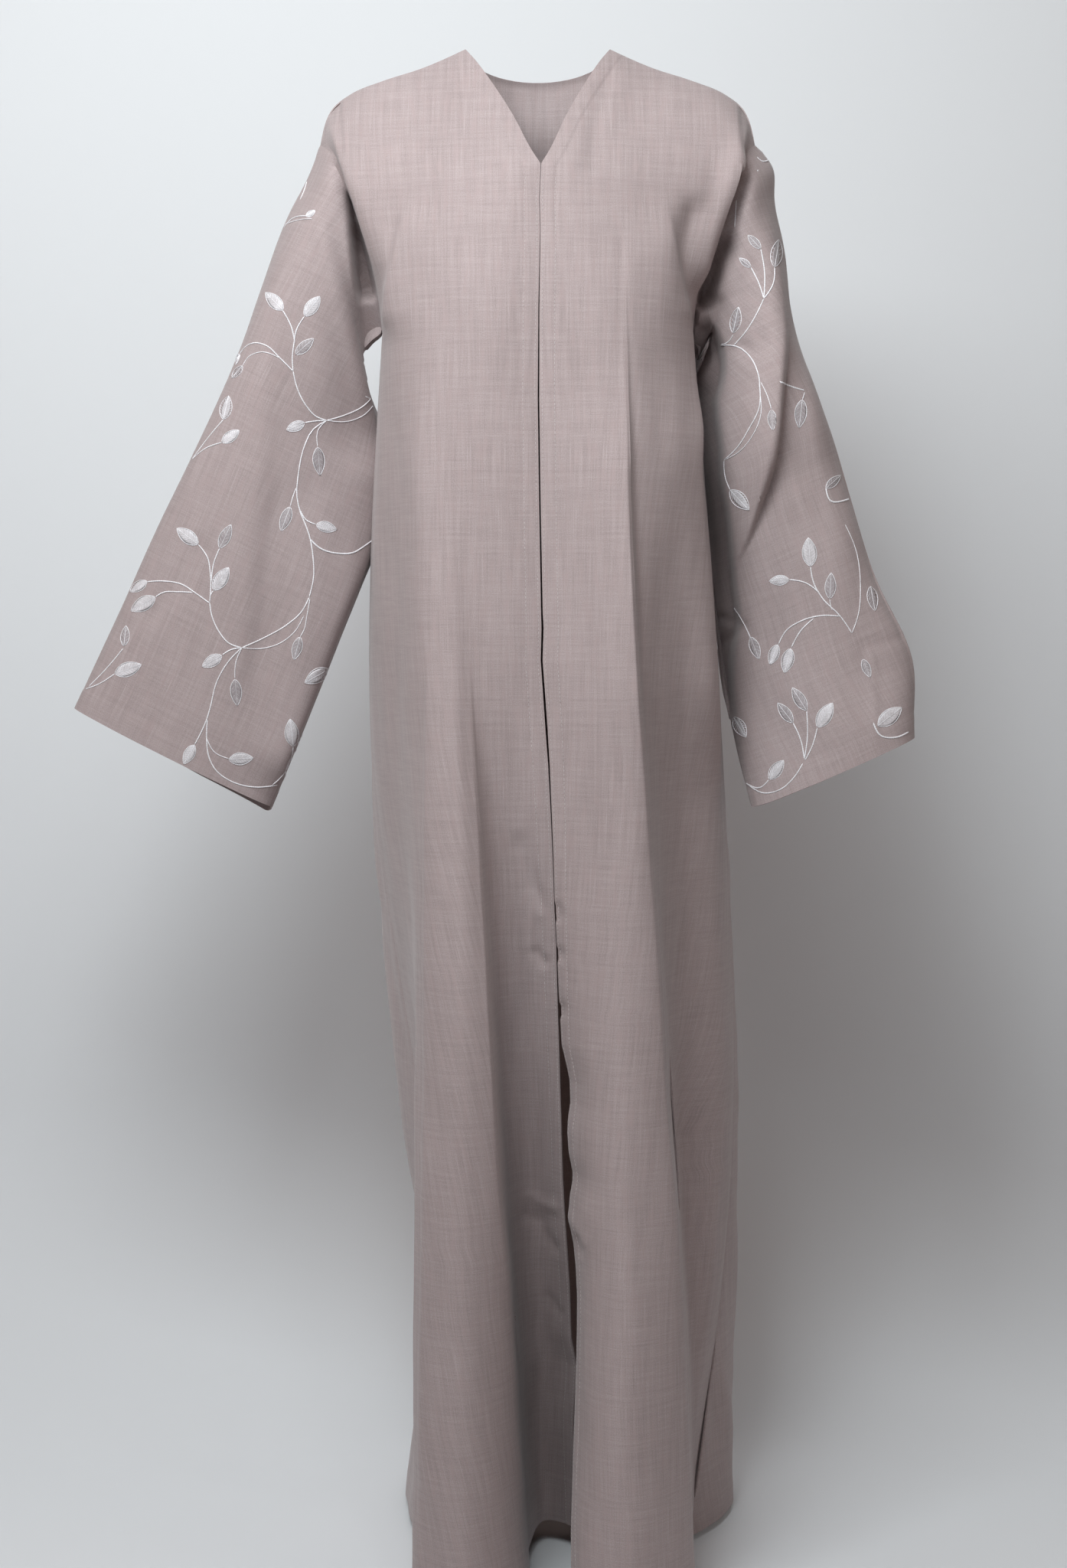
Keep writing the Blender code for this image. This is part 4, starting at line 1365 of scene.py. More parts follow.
class Shader:
    """A material under construction."""

    def __init__(self, name: str) -> None:
        """Starts an empty material.

        Args:
            name: The material's name.
        """
        self.material = bpy.data.materials.new(name)
        self.material.use_nodes = True
        self.tree = self.material.node_tree
        self.tree.nodes.clear()

    def node(
        self, kind: str, settings: dict[str, Any], inputs: dict[str | int, Any], output: str | int = 0
    ) -> Term:
        """Adds a node.

        Args:
            kind: The node's type.
            settings: Its properties, set before its inputs.
            inputs: Values or terms for its sockets, by name or number.
            output: The socket wanted, by name or number.

        Returns:
            The output socket as a term, empty for the node that ends a material.
        """
        made = self.tree.nodes.new(kind)
        for name, value in settings.items():
            setattr(made, name, value)
        for name, value in inputs.items():
            if isinstance(value, Term):
                self.tree.links.new(value.socket, made.inputs[name])
            else:
                made.inputs[name].default_value = value
        return Term(self, made.outputs[output] if made.outputs else None)

    def math(self, operation: str, *values: Term | float) -> Term:
        """One Math node on terms or numbers."""
        return self.node("ShaderNodeMath", {"operation": operation}, dict(enumerate(values)))

    def mix(self, factor: Term, first: Term | Colour, second: Term | Colour) -> Term:
        """A blend of two colours."""
        return self.node("ShaderNodeMix", {"data_type": "RGBA"}, {0: factor, 6: first, 7: second}, 2)

    def noise(self, place: Term, scale: float, detail: float, roughness: float = 0.5) -> Term:
        """Smooth noise from 0 to 1."""
        inputs = {"Vector": place, "Scale": scale, "Detail": detail, "Roughness": roughness}
        return self.node("ShaderNodeTexNoise", {}, inputs, "Fac")

    def marks(self, across: Term, down: Term, marks: Marks) -> Term:
        """The noise of one kind of marks in the weave.

        Args:
            across: Place across the weave, in metres.
            down: Place along it.
            marks: The kind of marks.

        Returns:
            The noise, about 0.5 on the whole.
        """
        inputs = {"X": across / marks.wide, "Y": down / marks.long, "Z": marks.layer}
        place = self.node("ShaderNodeCombineXYZ", {}, inputs)
        return self.noise(place, 1.0, marks.detail, marks.roughness)

    def bumped(self, height: Term, strength: float, distance: float) -> Term:
        """The normal of a surface with this relief."""
        inputs = {"Strength": strength, "Distance": distance, "Height": height}
        return self.node("ShaderNodeBump", {}, inputs)

    def principled(self, inputs: dict[str, Any]) -> Term:
        """A Principled BSDF with values or terms for its sockets."""
        return self.node("ShaderNodeBsdfPrincipled", {}, inputs)

    def ended(self, surface: Term) -> bpy.types.Material:
        """The material, ended in a shader."""
        self.node("ShaderNodeOutputMaterial", {}, {"Surface": surface})
        return self.material


@dataclass(frozen=True)
class ClothFinish:
    """Plain-woven cloth of uneven yarn: long warp streaks, scattered weft slubs and a fine grain."""

    name: str
    rose: Colour
    dark: Colour = (0.288, 0.232, 0.228, 1.0)
    light: Colour = (0.410, 0.338, 0.334, 1.0)
    pale: Colour = (0.520, 0.462, 0.456, 1.0)
    warp: Marks = Marks(0.0010, 0.0480, 3.0, 1.5, 0.6, tone=0.75, rise=0.6)
    weft: Marks = Marks(0.0300, 0.0010, 17.0, 1.5, 0.6, tone=0.55, rise=0.6)
    warp_bands: Marks = Marks(0.0040, 0.0900, 9.0, tone=0.48)
    weft_bands: Marks = Marks(0.0900, 0.0040, 29.0, tone=0.36)
    grain: Marks = Marks(0.0010, 0.0010, 5.0, tone=1.0, rise=0.8)
    patches: Marks = Marks(1.0 / 14.0, 1.0 / 9.0, 1.0, 2.0, tone=0.3)
    hue: Marks = Marks(0.0050, 0.0240, 41.0, 2.0, 0.6)
    rosy: Pair = (0.46, 0.70)
    rose_share: float = 0.5
    warp_slubs: Pair = (0.66, 0.80)
    weft_slubs: Pair = (0.67, 0.82)
    slub_share: float = 0.35
    bump_strength: float = 0.20
    bump_distance: float = 0.0004
    roughness: float = 0.88
    sheen: float = 0.18
    sheen_roughness: float = 0.5
    specular: float = 0.25

    def material(self) -> bpy.types.Material:
        """Makes the material.

        Returns:
            The material.
        """
        shader = Shader(self.name)
        cloth = shader.node("ShaderNodeUVMap", {"uv_map": CLOTH_UV}, {})
        across, down = (shader.node("ShaderNodeSeparateXYZ", {}, {0: cloth}, axis) for axis in "XY")
        kinds = (self.warp, self.weft, self.warp_bands, self.weft_bands, self.grain, self.patches)
        woven = [(shader.marks(across, down, marks), marks) for marks in kinds]
        tone = sum((noise - 0.5) * marks.tone for noise, marks in woven) + 0.5
        raised = sum((noise - 0.5) * marks.rise for noise, marks in woven if marks.rise)
        rosy = shader.marks(across, down, self.hue).ramp(*self.rosy) * self.rose_share
        slubs = woven[0][0].ramp(*self.warp_slubs) + woven[1][0].ramp(*self.weft_slubs)
        colour = shader.mix(tone.ramp(0.0, 1.0), self.dark, self.light)
        colour = shader.mix(rosy, colour, self.rose)
        colour = shader.mix((slubs * self.slub_share).ramp(0.0, 1.0), colour, self.pale)
        return shader.ended(shader.principled({
            "Base Color": colour, "Roughness": self.roughness, "Specular IOR Level": self.specular,
            "Sheen Weight": self.sheen, "Sheen Roughness": self.sheen_roughness,
            "Normal": shader.bumped(raised, self.bump_strength, self.bump_distance),
        }))


@dataclass(frozen=True)
class ThreadFinish:
    """Silky embroidery thread, with fine filaments along it."""

    name: str
    dark: Colour
    light: Colour
    roughness: float = 0.42
    filament: float = 0.0006
    filament_tone: float = 1.2
    patch_scale: float = 160.0
    patch_tone: float = 0.8
    tones: Pair = (0.1, 0.9)
    bump_strength: float = 0.4
    bump_distance: float = 0.0003
    sheen: float = 0.2

    def material(self) -> bpy.types.Material:
        """Makes the material.

        Returns:
            The material.
        """
        shader = Shader(self.name)
        place = shader.node("ShaderNodeTexCoord", {}, {}, "Object")
        fine = shader.noise(place, 1.0 / self.filament, 1.0)
        patches = shader.noise(place, self.patch_scale, 1.0)
        tone = (fine - 0.5) * self.filament_tone + (patches - 0.5) * self.patch_tone + 0.5
        return shader.ended(shader.principled({
            "Base Color": shader.mix(tone.ramp(*self.tones), self.dark, self.light),
            "Roughness": self.roughness, "Sheen Weight": self.sheen,
            "Normal": shader.bumped(fine, self.bump_strength, self.bump_distance),
        }))


@dataclass(frozen=True)
class BackdropFinish:
    """Matte pale paper that is seen from its front only."""

    name: str = "paper"
    colour: Colour = (0.72, 0.735, 0.75, 1.0)
    paler: float = 1.03
    mottle_scale: float = 1.3
    mottle_detail: float = 2.0
    roughness: float = 0.95
    specular: float = 0.1

    def material(self) -> bpy.types.Material:
        """Makes the material.

        Returns:
            The material.
        """
        shader = Shader(self.name)
        place = shader.node("ShaderNodeTexCoord", {}, {}, "Object")
        tone = shader.noise(place, self.mottle_scale, self.mottle_detail)
        paler = tuple(min(1.0, value * self.paler) for value in self.colour)
        colour = shader.mix(tone, self.colour, paler)
        inputs = {"Base Color": colour, "Roughness": self.roughness, "Specular IOR Level": self.specular}
        behind = shader.node("ShaderNodeNewGeometry", {}, {}, "Backfacing")
        clear = shader.node("ShaderNodeBsdfTransparent", {}, {})
        sides = {0: behind, 1: shader.principled(inputs), 2: clear}
        return shader.ended(shader.node("ShaderNodeMixShader", {}, sides))


BODY_CLOTH = ClothFinish("mauve_linen", (0.365, 0.285, 0.280, 1.0))
# The sleeves' copy of the cloth, its rose a touch darker than the body's: painted shade.
SHADED_SLEEVE_CLOTH = ClothFinish("mauve_linen_sleeve", (0.362, 0.283, 0.279, 1.0))
BRIGHT_THREAD = ThreadFinish("bright_thread", (0.64, 0.62, 0.64, 1.0), (0.92, 0.91, 0.94, 1.0))
SILVER_THREAD = ThreadFinish("silver_thread", (0.44, 0.405, 0.415, 1.0), (0.66, 0.63, 0.65, 1.0))
# The shaded thread: silver thread made darker, as painted shade.
SHADED_THREAD = ThreadFinish("grey_thread", (0.26, 0.225, 0.23, 1.0), (0.40, 0.355, 0.365, 1.0))
SEWING_THREAD = ThreadFinish("sewing_thread", (0.40, 0.35, 0.345, 1.0), (0.54, 0.49, 0.485, 1.0), 0.7)


def dress(piece: bpy.types.Object, slot: str, *nodes: str) -> bpy.types.Object:
    """Puts a piece on the frame.

    Args:
        piece: The piece.
        slot: Not used.
        nodes: The solids that it stands for.

    Returns:
        The piece.
    """
    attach(piece, BODY)
    if nodes:
        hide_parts(*nodes)
    return piece


@dataclass
class FrontPanel:
    """One front with its facing, hem and rows of stitching.

    Its columns of points stand at `near_columns` from the front edge and at `side_columns` from the
    side seam, and closer than elsewhere where the cloth turns over one of its `turns`. The front
    edge is moved into the line in which it hangs, between the top and the foot of that line.
    """

    side: Side
    seed: int
    ribs: Sequence[Rib]
    creases: Sequence[Crease]
    recesses: Sequence[Crease]
    edge_line: Sequence[Pair]
    turns: Sequence[Sequence[Pair]]
    flat: Pair
    cut_area: float
    near_columns: tuple[float, ...] = (
        0.0, 0.0011, 0.0026, 0.0041, 0.0062, 0.0088, 0.0112, 0.0128, 0.0140, 0.0152, 0.0170, 0.0200, 0.0240,
    )
    far_columns: int = 100
    side_columns: tuple[float, ...] = (
        0.0300, 0.0262, 0.0226, 0.0194, 0.0164, 0.0136, 0.0110, 0.0086, 0.0064, 0.0042, 0.0021, 0.0,
    )
    samples: int = 500
    turn_reach: float = 0.009
    turn_share: float = 4.0
    evening: int = 9
    edge_reach: float = 0.060
    edge_limit: float = 0.006
    edge_top: Pair = (200.0, 40.0)
    foot_blend: float = 90.0
    held: float = 0.030
    edge_held: Pair = (-0.01, 0.04)
    facing: TurnedEdge = TurnedEdge(0.0140, 0.0005, 0.0016, groove=0.0)
    hem: TurnedEdge = TurnedEdge(0.024, 0.00035, 0.003, groove_width=0.002)
    seam: PressedSeam = PressedSeam()
    stitch_rows: tuple[float, ...] = (0.0026, 0.0140)
    stitch_groove: PressedSeam = PressedSeam(0.00030, 0.0, 0.0011)
    pucker: float = 0.00010
    pucker_lengths: Pair = (0.0173, 0.0271)
    pucker_lag: float = 1.3
    pucker_width: float = 0.0040
    edge_roll: float = 0.0003
    edge_roll_width: float = 0.0010
    stitch_pitch: float = 0.0038
    stitch_length: float = 0.0026
    stitch_radius: float = 0.00024
    stitch_start: float = 228.0
    stitch_shares: tuple[float, ...] = (0.0, 0.18, 0.82, 1.0)
    stitch_thickness: tuple[float, ...] = (0.45, 1.0, 1.0, 0.45)
    grid: Grid = field(init=False)

    def name(self) -> str:
        """The name of its solid."""
        return "front_" + self.side.word()

    def spread(self, rows: Array) -> Array:
        """Draws the rows again with columns at set distances, and close ones where the cloth turns.

        Args:
            rows: The front's rows of points.

        Returns:
            The new rows.
        """
        result = []
        centres = [self.crossings(rows, turn) for turn in self.turns]
        for number, row in enumerate(rows):
            along = lengths_along(row)
            side = along[-1] - np.array(self.side_columns)
            fine = np.linspace(self.near_columns[-1], side[0], self.samples)
            close = np.ones(len(fine))
            for centre in centres:
                close += self.turn_share * bump(fine, centre[number], self.turn_reach)
            total = np.pad(np.cumsum((close[1:] + close[:-1]) / 2), (1, 0))
            rest = np.interp(np.linspace(0.0, total[-1], self.far_columns + 1), total, fine)[1:-1]
            result.append(resampled(row, along, np.concatenate([self.near_columns, rest, side])))
        return np.array(result)

    def crossings(self, rows: Array, turn: Sequence[Pair]) -> Array:
        """Finds how far along itself each row crosses a line of the view.

        Args:
            rows: The front's rows of points.
            turn: The line.

        Returns:
            A distance for each row, evened out from row to row.
        """
        places, heights = np.array(turn, float).T
        found = []
        for row in rows:
            along, seen = lengths_along(row), VIEW.project(row)
            beyond = (seen[:, 0] - np.interp(seen[:, 1], heights, places)) * float(self.side.value)
            after = max(1, int(np.argmax(beyond > 0.0)))
            found.append(np.interp(0.0, beyond[after - 1:after + 1], along[after - 1:after + 1]))
        window = 2 * self.evening + 1
        return np.convolve(np.pad(found, self.evening, mode="edge"), np.ones(window) / window, "valid")

    def hung(self, rows: Array) -> Array:
        """Moves the front edge sideways to the line in which it hangs.

        Args:
            rows: The front's rows of points.

        Returns:
            The moved rows.
        """
        seen = VIEW.project(rows[:, 0])
        heights, places = np.array(self.edge_line, float).T
        wanted = np.interp(seen[:, 1], heights, places)
        away = (wanted - seen[:, 0]) * seen[:, 2] / VIEW.pixels_per_slope()
        away = np.clip(away, -self.edge_limit, self.edge_limit)
        foot = heights[-1] + self.foot_blend
        away *= ease((foot - seen[:, 1]) / self.foot_blend) * rising(seen[:, 1], self.edge_top)
        result = rows.copy()
        result[..., 0] += away[:, None] * bump(Grid(rows).across(), 0.0, self.edge_reach)
        return result

    def relief(self, grid: Grid) -> Array:
        """Works out how the front stands out from its plain form.

        Args:
            grid: The plain form.

        Returns:
            A height for each point.
        """
        across, down = grid.across(), grid.down()
        from_side = across[:, -1:] - across
        loose = ease(from_side / self.held) * ease(down / self.held)
        heights = Ripples(self.seed).heights(across, down) * loose * rising(across, self.edge_held)
        heights += Creasing().heights(grid, self.creases) * ease(from_side / CREASE_REACH)
        heights += self.facing.relief(across)
        for row in self.stitch_rows:
            heights -= self.stitch_groove.relief(across - row)
        first, second = (TURN * down / length for length in self.pucker_lengths)
        puckers = np.cos(first) + np.cos(second + self.pucker_lag)
        heights += self.pucker * puckers * bump(across, self.facing.depth, self.pucker_width)
        heights -= self.edge_roll * np.exp(-across / self.edge_roll_width)
        heights += self.seam.relief(from_side) + self.seam.relief(down)
        heights += self.hem.relief(down[-1:] - down)
        return heights * ease(from_side / SEAM_REACH) * ease(down / SEAM_REACH)

    def build(self) -> bpy.types.Object:
        """Makes the front's cloth.

        Returns:
            The piece.
        """
        rows = self.hung(self.spread(Pattern().front(self.side, self.ribs)))
        plain = Grid(rows, flip=self.side is Side.LEFT)
        across = plain.across()
        beside = ease((across[:, -1:] - across) / CREASE_REACH)
        depths = Creasing().heights(plain, self.recesses) * beside
        self.grid = plain.raised(self.relief(plain)).pushed(depths)
        wall = ClothWall(self.grid, DOWNWARDS, (float(self.side.value), 0.0, 0.0))
        return dress(wall.build(self.name() + "_cloth", BODY_CLOTH.material()), "body_cloth", self.name())

    def stitch(self) -> bpy.types.Object:
        """Makes the two rows of stitches along the front edge.

        Returns:
            The piece.
        """
        parts = MeshParts()
        normals = self.grid.normals()
        thickness = self.stitch_radius * np.array(self.stitch_thickness)
        for distance in self.stitch_rows:
            column = self.near_columns.index(distance)
            line = self.grid.points[:, column]
            along = lengths_along(line)
            first = along[int(np.argmax(VIEW.project(line)[:, 1] > self.stitch_start))]
            for start in np.arange(first, along[-1] - self.stitch_pitch, self.stitch_pitch):
                at = start + self.stitch_length * np.array(self.stitch_shares)
                ways = unit(resampled(normals[:, column], along, at))
                parts.cord(resampled(line, along, at), ways, thickness, thickness)
        return dress(parts.build(self.name() + "_stitching", [SEWING_THREAD.material()]), "thread")


@dataclass
class BackPanel:
    """The one-piece back with its hem."""

    seed: int
    flat: Pair
    cut_area: float
    columns: int = 62
    neck_columns: int = 25
    yoke_rows: int = 64
    skirt_rows: int = 124
    ripple_height: float = 0.0018
    ripples: int = 12
    side_held: float = 0.030
    top_held: float = 0.040
    hem: TurnedEdge = TurnedEdge(0.024, 0.0004, 0.004)
    seam: PressedSeam = PressedSeam()
    grid: Grid = field(init=False)

    def relief(self, grid: Grid) -> Array:
        """Works out how the back stands out from its plain form.

        Args:
            grid: The plain form.

        Returns:
            A height for each point.
        """
        across, down = grid.across(), grid.down()
        from_side = np.minimum(across, across[:, -1:] - across)
        loose = ease(from_side / self.side_held) * ease(down / self.top_held)
        heights = Ripples(self.seed, self.ripple_height, self.ripples).heights(across, down) * loose
        heights += self.seam.relief(from_side) + self.seam.relief(down)
        heights += self.hem.relief(down[-1:] - down)
        return heights * ease(from_side / SEAM_REACH) * ease(down / SEAM_REACH)

    def build(self) -> bpy.types.Object:
        """Makes the back's cloth.

        Returns:
            The piece.
        """
        plain = Grid(Pattern(self.columns, self.neck_columns, self.yoke_rows, self.skirt_rows).back())
        self.grid = plain.raised(self.relief(plain))
        wall = ClothWall(self.grid, DOWNWARDS, (1.0, 0.0, 0.0), self.columns + self.neck_columns // 2)
        return dress(wall.build("back_cloth", BODY_CLOTH.material()), "body_cloth", "back")


@dataclass
class SleeveSurface:
    """Finds places on a sleeve from points of the view, and their mirror images behind it."""

    grid: Grid
    reach: float = 2.6
    normals: Array = field(init=False)
    cells: Array = field(init=False)
    tree: BVHTree = field(init=False)

    def __post_init__(self) -> None:
        """Makes the search tree."""
        self.normals = self.grid.normals()
        self.cells = self.grid.quads()
        points = [Vector(p) for p in self.grid.points.reshape(-1, 3)]
        self.tree = BVHTree.FromPolygons(points, self.cells.tolist())

    def cell_place(self, across: float, down: float) -> tuple[float, float]:
        """Finds the cloth that is seen, or else is nearest, at a point of the view.

        Args:
            across: Its pixels across.
            down: Its pixels down.

        Returns:
            The row and column, with their fractions.
        """
        origin, way = Vector(VIEW.location), VIEW.towards(across, down)
        place, _, cell, _ = self.tree.ray_cast(origin, way)
        if place is None:
            place, _, cell, _ = self.tree.find_nearest(origin + way * self.reach)
        a, b, c, d = self.grid.points.reshape(-1, 3)[self.cells[cell]]
        steps = np.column_stack([(b - a + c - d) / 2, (d - a + c - b) / 2])
        solved = np.linalg.lstsq(steps, np.array(place) - a, rcond=None)[0]
        row, column = divmod(cell, self.grid.points.shape[1])
        beside, below = np.clip(solved, 0.0, 1.0)
        return row + float(below), column + float(beside)

    def at(self, values: Array, rows: Array, columns: Array) -> Array:
        """Values of the sheet between its points.

        Args:
            values: A row of numbers for each point of the sheet.
            rows: The rows wanted, with their fractions.
            columns: The columns wanted, with their fractions.

        Returns:
            A row of numbers for each place.
        """
        count_down, count_across = values.shape[:2]
        r = np.clip(np.floor(rows).astype(int), 0, count_down - 2)
        c = np.floor(columns).astype(int)
        down, across = (rows - r)[:, None], (columns - c)[:, None]
        c, after = c % count_across, (c + 1) % count_across
        upper = values[r, c] * (1.0 - across) + values[r, after] * across
        lower = values[r + 1, c] * (1.0 - across) + values[r + 1, after] * across
        return upper * (1.0 - down) + lower * down

    def both(self, pixels: Array) -> list[tuple[Array, Array]]:
        """Lays a line of the view on the front of the sleeve, and its mirror image on the back.

        Args:
            pixels: The line's points.

        Returns:
            For each of the two, its points and the cloth's outward directions there.
        """
        rows, columns = np.array([self.cell_place(float(x), float(y)) for x, y in pixels]).T
        lines = []
        for place in (columns, self.grid.points.shape[1] - columns):
            lines.append((self.at(self.grid.points, rows, place), unit(self.at(self.normals, rows, place))))
        return lines


@dataclass
class Vine:
    """The embroidery of a sleeve: stems in chain stitch, and leaves in satin stitch with raised rims."""

    surface: SleeveSurface
    parts: MeshParts = field(default_factory=MeshParts)
    stem_steps: int = 24
    cord_step: float = 0.0007
    least_places: int = 4
    chain_pitch: float = 0.0021
    chain_dip: float = 0.16
    stem_height: float = 0.00055
    end_reach: float = 0.0015
    end_share: float = 0.35
    leaf_steps: int = 12
    pixel: float = 0.00075
    ground_share: float = 0.94
    ground_least: float = 0.00015
    ground_height: float = 0.00030
    ground_sides: int = 8
    fine_sides: int = 4
    midrib: Pair = (0.00030, 0.00062)
    rim_steps: int = 24
    rim_radius: float = 0.00040
    slant_first: float = 0.08
    slant_last: float = 0.86
    slant_rise: float = 0.16
    slant_share: float = 0.92
    slant_thickness: Place = (0.00018, 0.00026, 0.00018)
    slant_height: float = 1.9

    def stem(self, line: Array, normals: Array, radius: float) -> None:
        """Works a stem in chain stitch.

        Args:
            line: Its points, on the cloth.
            normals: The cloth's outward direction at each.
            radius: Half its width.
        """
        along = lengths_along(line)
        at = np.linspace(0.0, along[-1], max(self.least_places, int(along[-1] / self.cord_step) + 1))
        places, ways = resampled(line, along, at), unit(resampled(normals, along, at))
        links = 1.0 - self.chain_dip + self.chain_dip * np.cos(TURN * at / self.chain_pitch)
        ends = np.clip(np.minimum(at, at[-1] - at) / self.end_reach, self.end_share, 1.0)
        self.parts.cord(places, ways, radius * links * ends, self.stem_height * links * ends)

    def leaf(self, mark: LeafMark) -> None:
        """Works a leaf: its satin ground, its midrib, and on each side its rim and slanting stitches.

        Args:
            mark: The leaf.
        """
        work = mark.kind.value
        shares = shares_of(self.leaf_steps)
        wide = np.maximum(mark.half_width(shares) * self.pixel, self.ground_least) * self.ground_share
        for line, normals in self.surface.both(mark.places(shares, 0.0 * shares)):
            self.parts.cord(line, normals, wide, self.ground_height, self.ground_sides, work.ground)
            self.parts.cord(line, normals, *self.midrib, self.fine_sides, work.midrib)
        shares = shares_of(self.rim_steps)
        thick = np.array(self.slant_thickness)
        tall = thick * self.slant_height
        for sign in (-1.0, 1.0):
            for line, normals in self.surface.both(mark.places(shares, sign * mark.half_width(shares))):
                self.stem(line, normals, self.rim_radius)
            for start in np.arange(self.slant_first, self.slant_last, work.pitch):
                finish = np.array(min(1.0, start + self.slant_rise))
                inner = mark.places(np.array(start), np.array(0.0))
                outer = mark.places(finish, sign * mark.half_width(finish) * self.slant_share)
                slant = inner + shares_of(len(thick) - 1)[:, None] * (outer - inner)
                for line, normals in self.surface.both(slant):
                    self.parts.cord(line, normals, thick, tall, self.fine_sides, work.stitches)

    def build(self, name: str, stems: Sequence[StemLine], leaves: Sequence[LeafMark]) -> bpy.types.Object:
        """Makes the embroidery.

        Args:
            name: The piece's name.
            stems: The stems.
            leaves: The leaves.

        Returns:
            The piece.
        """
        for stem in stems:
            for line, normals in self.surface.both(by_length(stem.line, self.stem_steps)):
                self.stem(line, normals, stem.width * MM / 2)
        for mark in leaves:
            self.leaf(mark)
        threads = [finish.material() for finish in (BRIGHT_THREAD, SILVER_THREAD, SHADED_THREAD)]
        return dress(self.parts.build(name, threads), "thread")


@dataclass
class Sleeve:
    """One bell sleeve with its hem and its vine embroidery.

    It leans out by `lean` from upright. Its back hem hangs lower than the front one by `hem_drop`, over
    the shares of the length, and of the way behind and inwards, that the three `drop` pairs give.
    """

    side: Side
    seed: int
    stations: Sequence[Station]
    fold: Sequence[Ridge]
    creases: Sequence[Crease]
    recesses: Sequence[Crease]
    stems: Sequence[StemLine]
    leaves: Sequence[LeafMark]
    fulness: Sequence[Fulness]
    lean: float
    hem_drop: float
    flat: Pair
    cut_area: float
    ring_half: int = 92
    rings: int = 138
    ripple_height: float = 0.0010
    seam_held: float = 0.030
    top_held: float = 0.040
    crease_held: float = 0.008
    drop_length: Pair = (0.75, 0.25)
    drop_behind: Pair = (-0.1, 0.5)
    drop_inwards: Pair = (-0.9, 1.2)
    hem: TurnedEdge = TurnedEdge(0.022, 0.0004, 0.004)
    seam: PressedSeam = PressedSeam(0.0005, 0.0055, 0.0040)
    armhole_seam: PressedSeam = PressedSeam(0.0007)
    grid: Grid = field(init=False)

    def name(self) -> str:
        """The name of its solid."""
        return "sleeve_" + self.side.word()

    def ring_places(self, grid: Grid) -> tuple[Array, Array]:
        """Each ring's share of the length, and each column's turn from the underarm up the front."""
        rings, columns = grid.points.shape[:2]
        return shares_of(rings - 1)[:, None], np.arange(columns)[None] * TURN / columns

    def relief(self, grid: Grid) -> Array:
        """Works out how the sleeve stands out from its plain form.

        Args:
            grid: The plain form.

        Returns:
            A height for each point.
        """
        across, down = grid.across()[:, :-1], grid.down()[:, :-1]
        from_seam = np.minimum(across, grid.across()[:, -1:] - across)
        loose = ease(from_seam / self.seam_held) * ease(down / self.top_held)
        heights = Ripples(self.seed, self.ripple_height).heights(across, down) * loose
        heights += Creasing().heights(grid, self.creases) * ease(down / self.crease_held)
        share, turn = self.ring_places(grid)
        for swell in self.fulness:
            away = np.abs((turn - swell.turn + math.pi) % TURN - math.pi)
            swelling = swell.height * bump(share, swell.share, swell.reach) * bump(away, 0.0, swell.spread)
            heights += swelling * ease(down / self.crease_held)
        heights += self.seam.relief(from_seam) + self.armhole_seam.relief(down)
        heights += self.hem.relief(down[-1:] - down)
        return heights * ease(down / SEAM_REACH)

    def dropped(self, grid: Grid) -> Grid:
        """Hangs the back of the hem lower than its front at its inner end.

        Args:
            grid: The sleeve.

        Returns:
            The sleeve with its hem dropped.
        """
        share, turn = self.ring_places(grid)
        behind = rising(-np.sin(turn), self.drop_behind) * rising(np.cos(turn), self.drop_inwards)
        points = grid.points.copy()
        points[..., 2] -= self.hem_drop * rising(share, self.drop_length) * behind
        return Grid(points, True, grid.flip)

    def build(self) -> bpy.types.Object:
        """Makes the sleeve's cloth.

        Returns:
            The piece.
        """
        pattern = Pattern(yoke_rows=self.ring_half, rings=self.rings)
        rings = pattern.sleeve(self.side, self.stations, self.fold)
        plain = Grid(rings, closed=True, flip=self.side is Side.LEFT)
        depths = Creasing().heights(plain, self.recesses) * ease(plain.down()[:, :-1] / CREASE_REACH)
        self.grid = self.dropped(plain.raised(self.relief(plain)).pushed(depths))
        side = float(self.side.value)
        grain = (side * math.sin(self.lean), 0.0, -math.cos(self.lean))
        outwards = (side * math.cos(self.lean), 0.0, math.sin(self.lean))
        wall = ClothWall(self.grid, grain, outwards, self.ring_half)
        cloth = wall.build(self.name() + "_cloth", SHADED_SLEEVE_CLOTH.material())
        return dress(cloth, "sleeve_cloth", self.name())

    def embroider(self) -> bpy.types.Object:
        """Works the vine on the front of the sleeve, and its mirror image on the back."""
        return Vine(SleeveSurface(self.grid)).build(self.name() + "_embroidery", self.stems, self.leaves)


LAMPS = (
    Lamp("key", (-0.45, -1.15, 0.62), (-0.05, 0.0, -0.25), (0.9, 0.7), 26.8, (0.925, 0.98, 1.0)),
    Lamp("top", (-0.15, -1.9, 1.05), (0.0, 0.0, -0.35), (1.4, 1.0), 20.6, (0.935, 0.98, 1.0)),
    Lamp("side", (2.2, -1.3, 0.1), (0.1, 0.3, -0.6), (1.4, 2.0), 6.6, (1.0, 0.80, 0.70)),
    Lamp("low", (-2.2, -1.3, 0.5), (-0.3, 0.0, -0.45), (1.4, 1.4), 8.0, (1.0, 0.80, 0.72)),
    Lamp("inside", (0.03, -0.02, -1.12), (0.03, 0.3, -1.12), (0.10, 0.60), 0.04, (1.0, 0.78, 0.70)),
    Lamp("behind", (0.3, 2.6, 0.6), (0.0, 0.0, -0.6), (2.0, 2.0), 12.0, (1.0, 1.0, 1.0)),
)


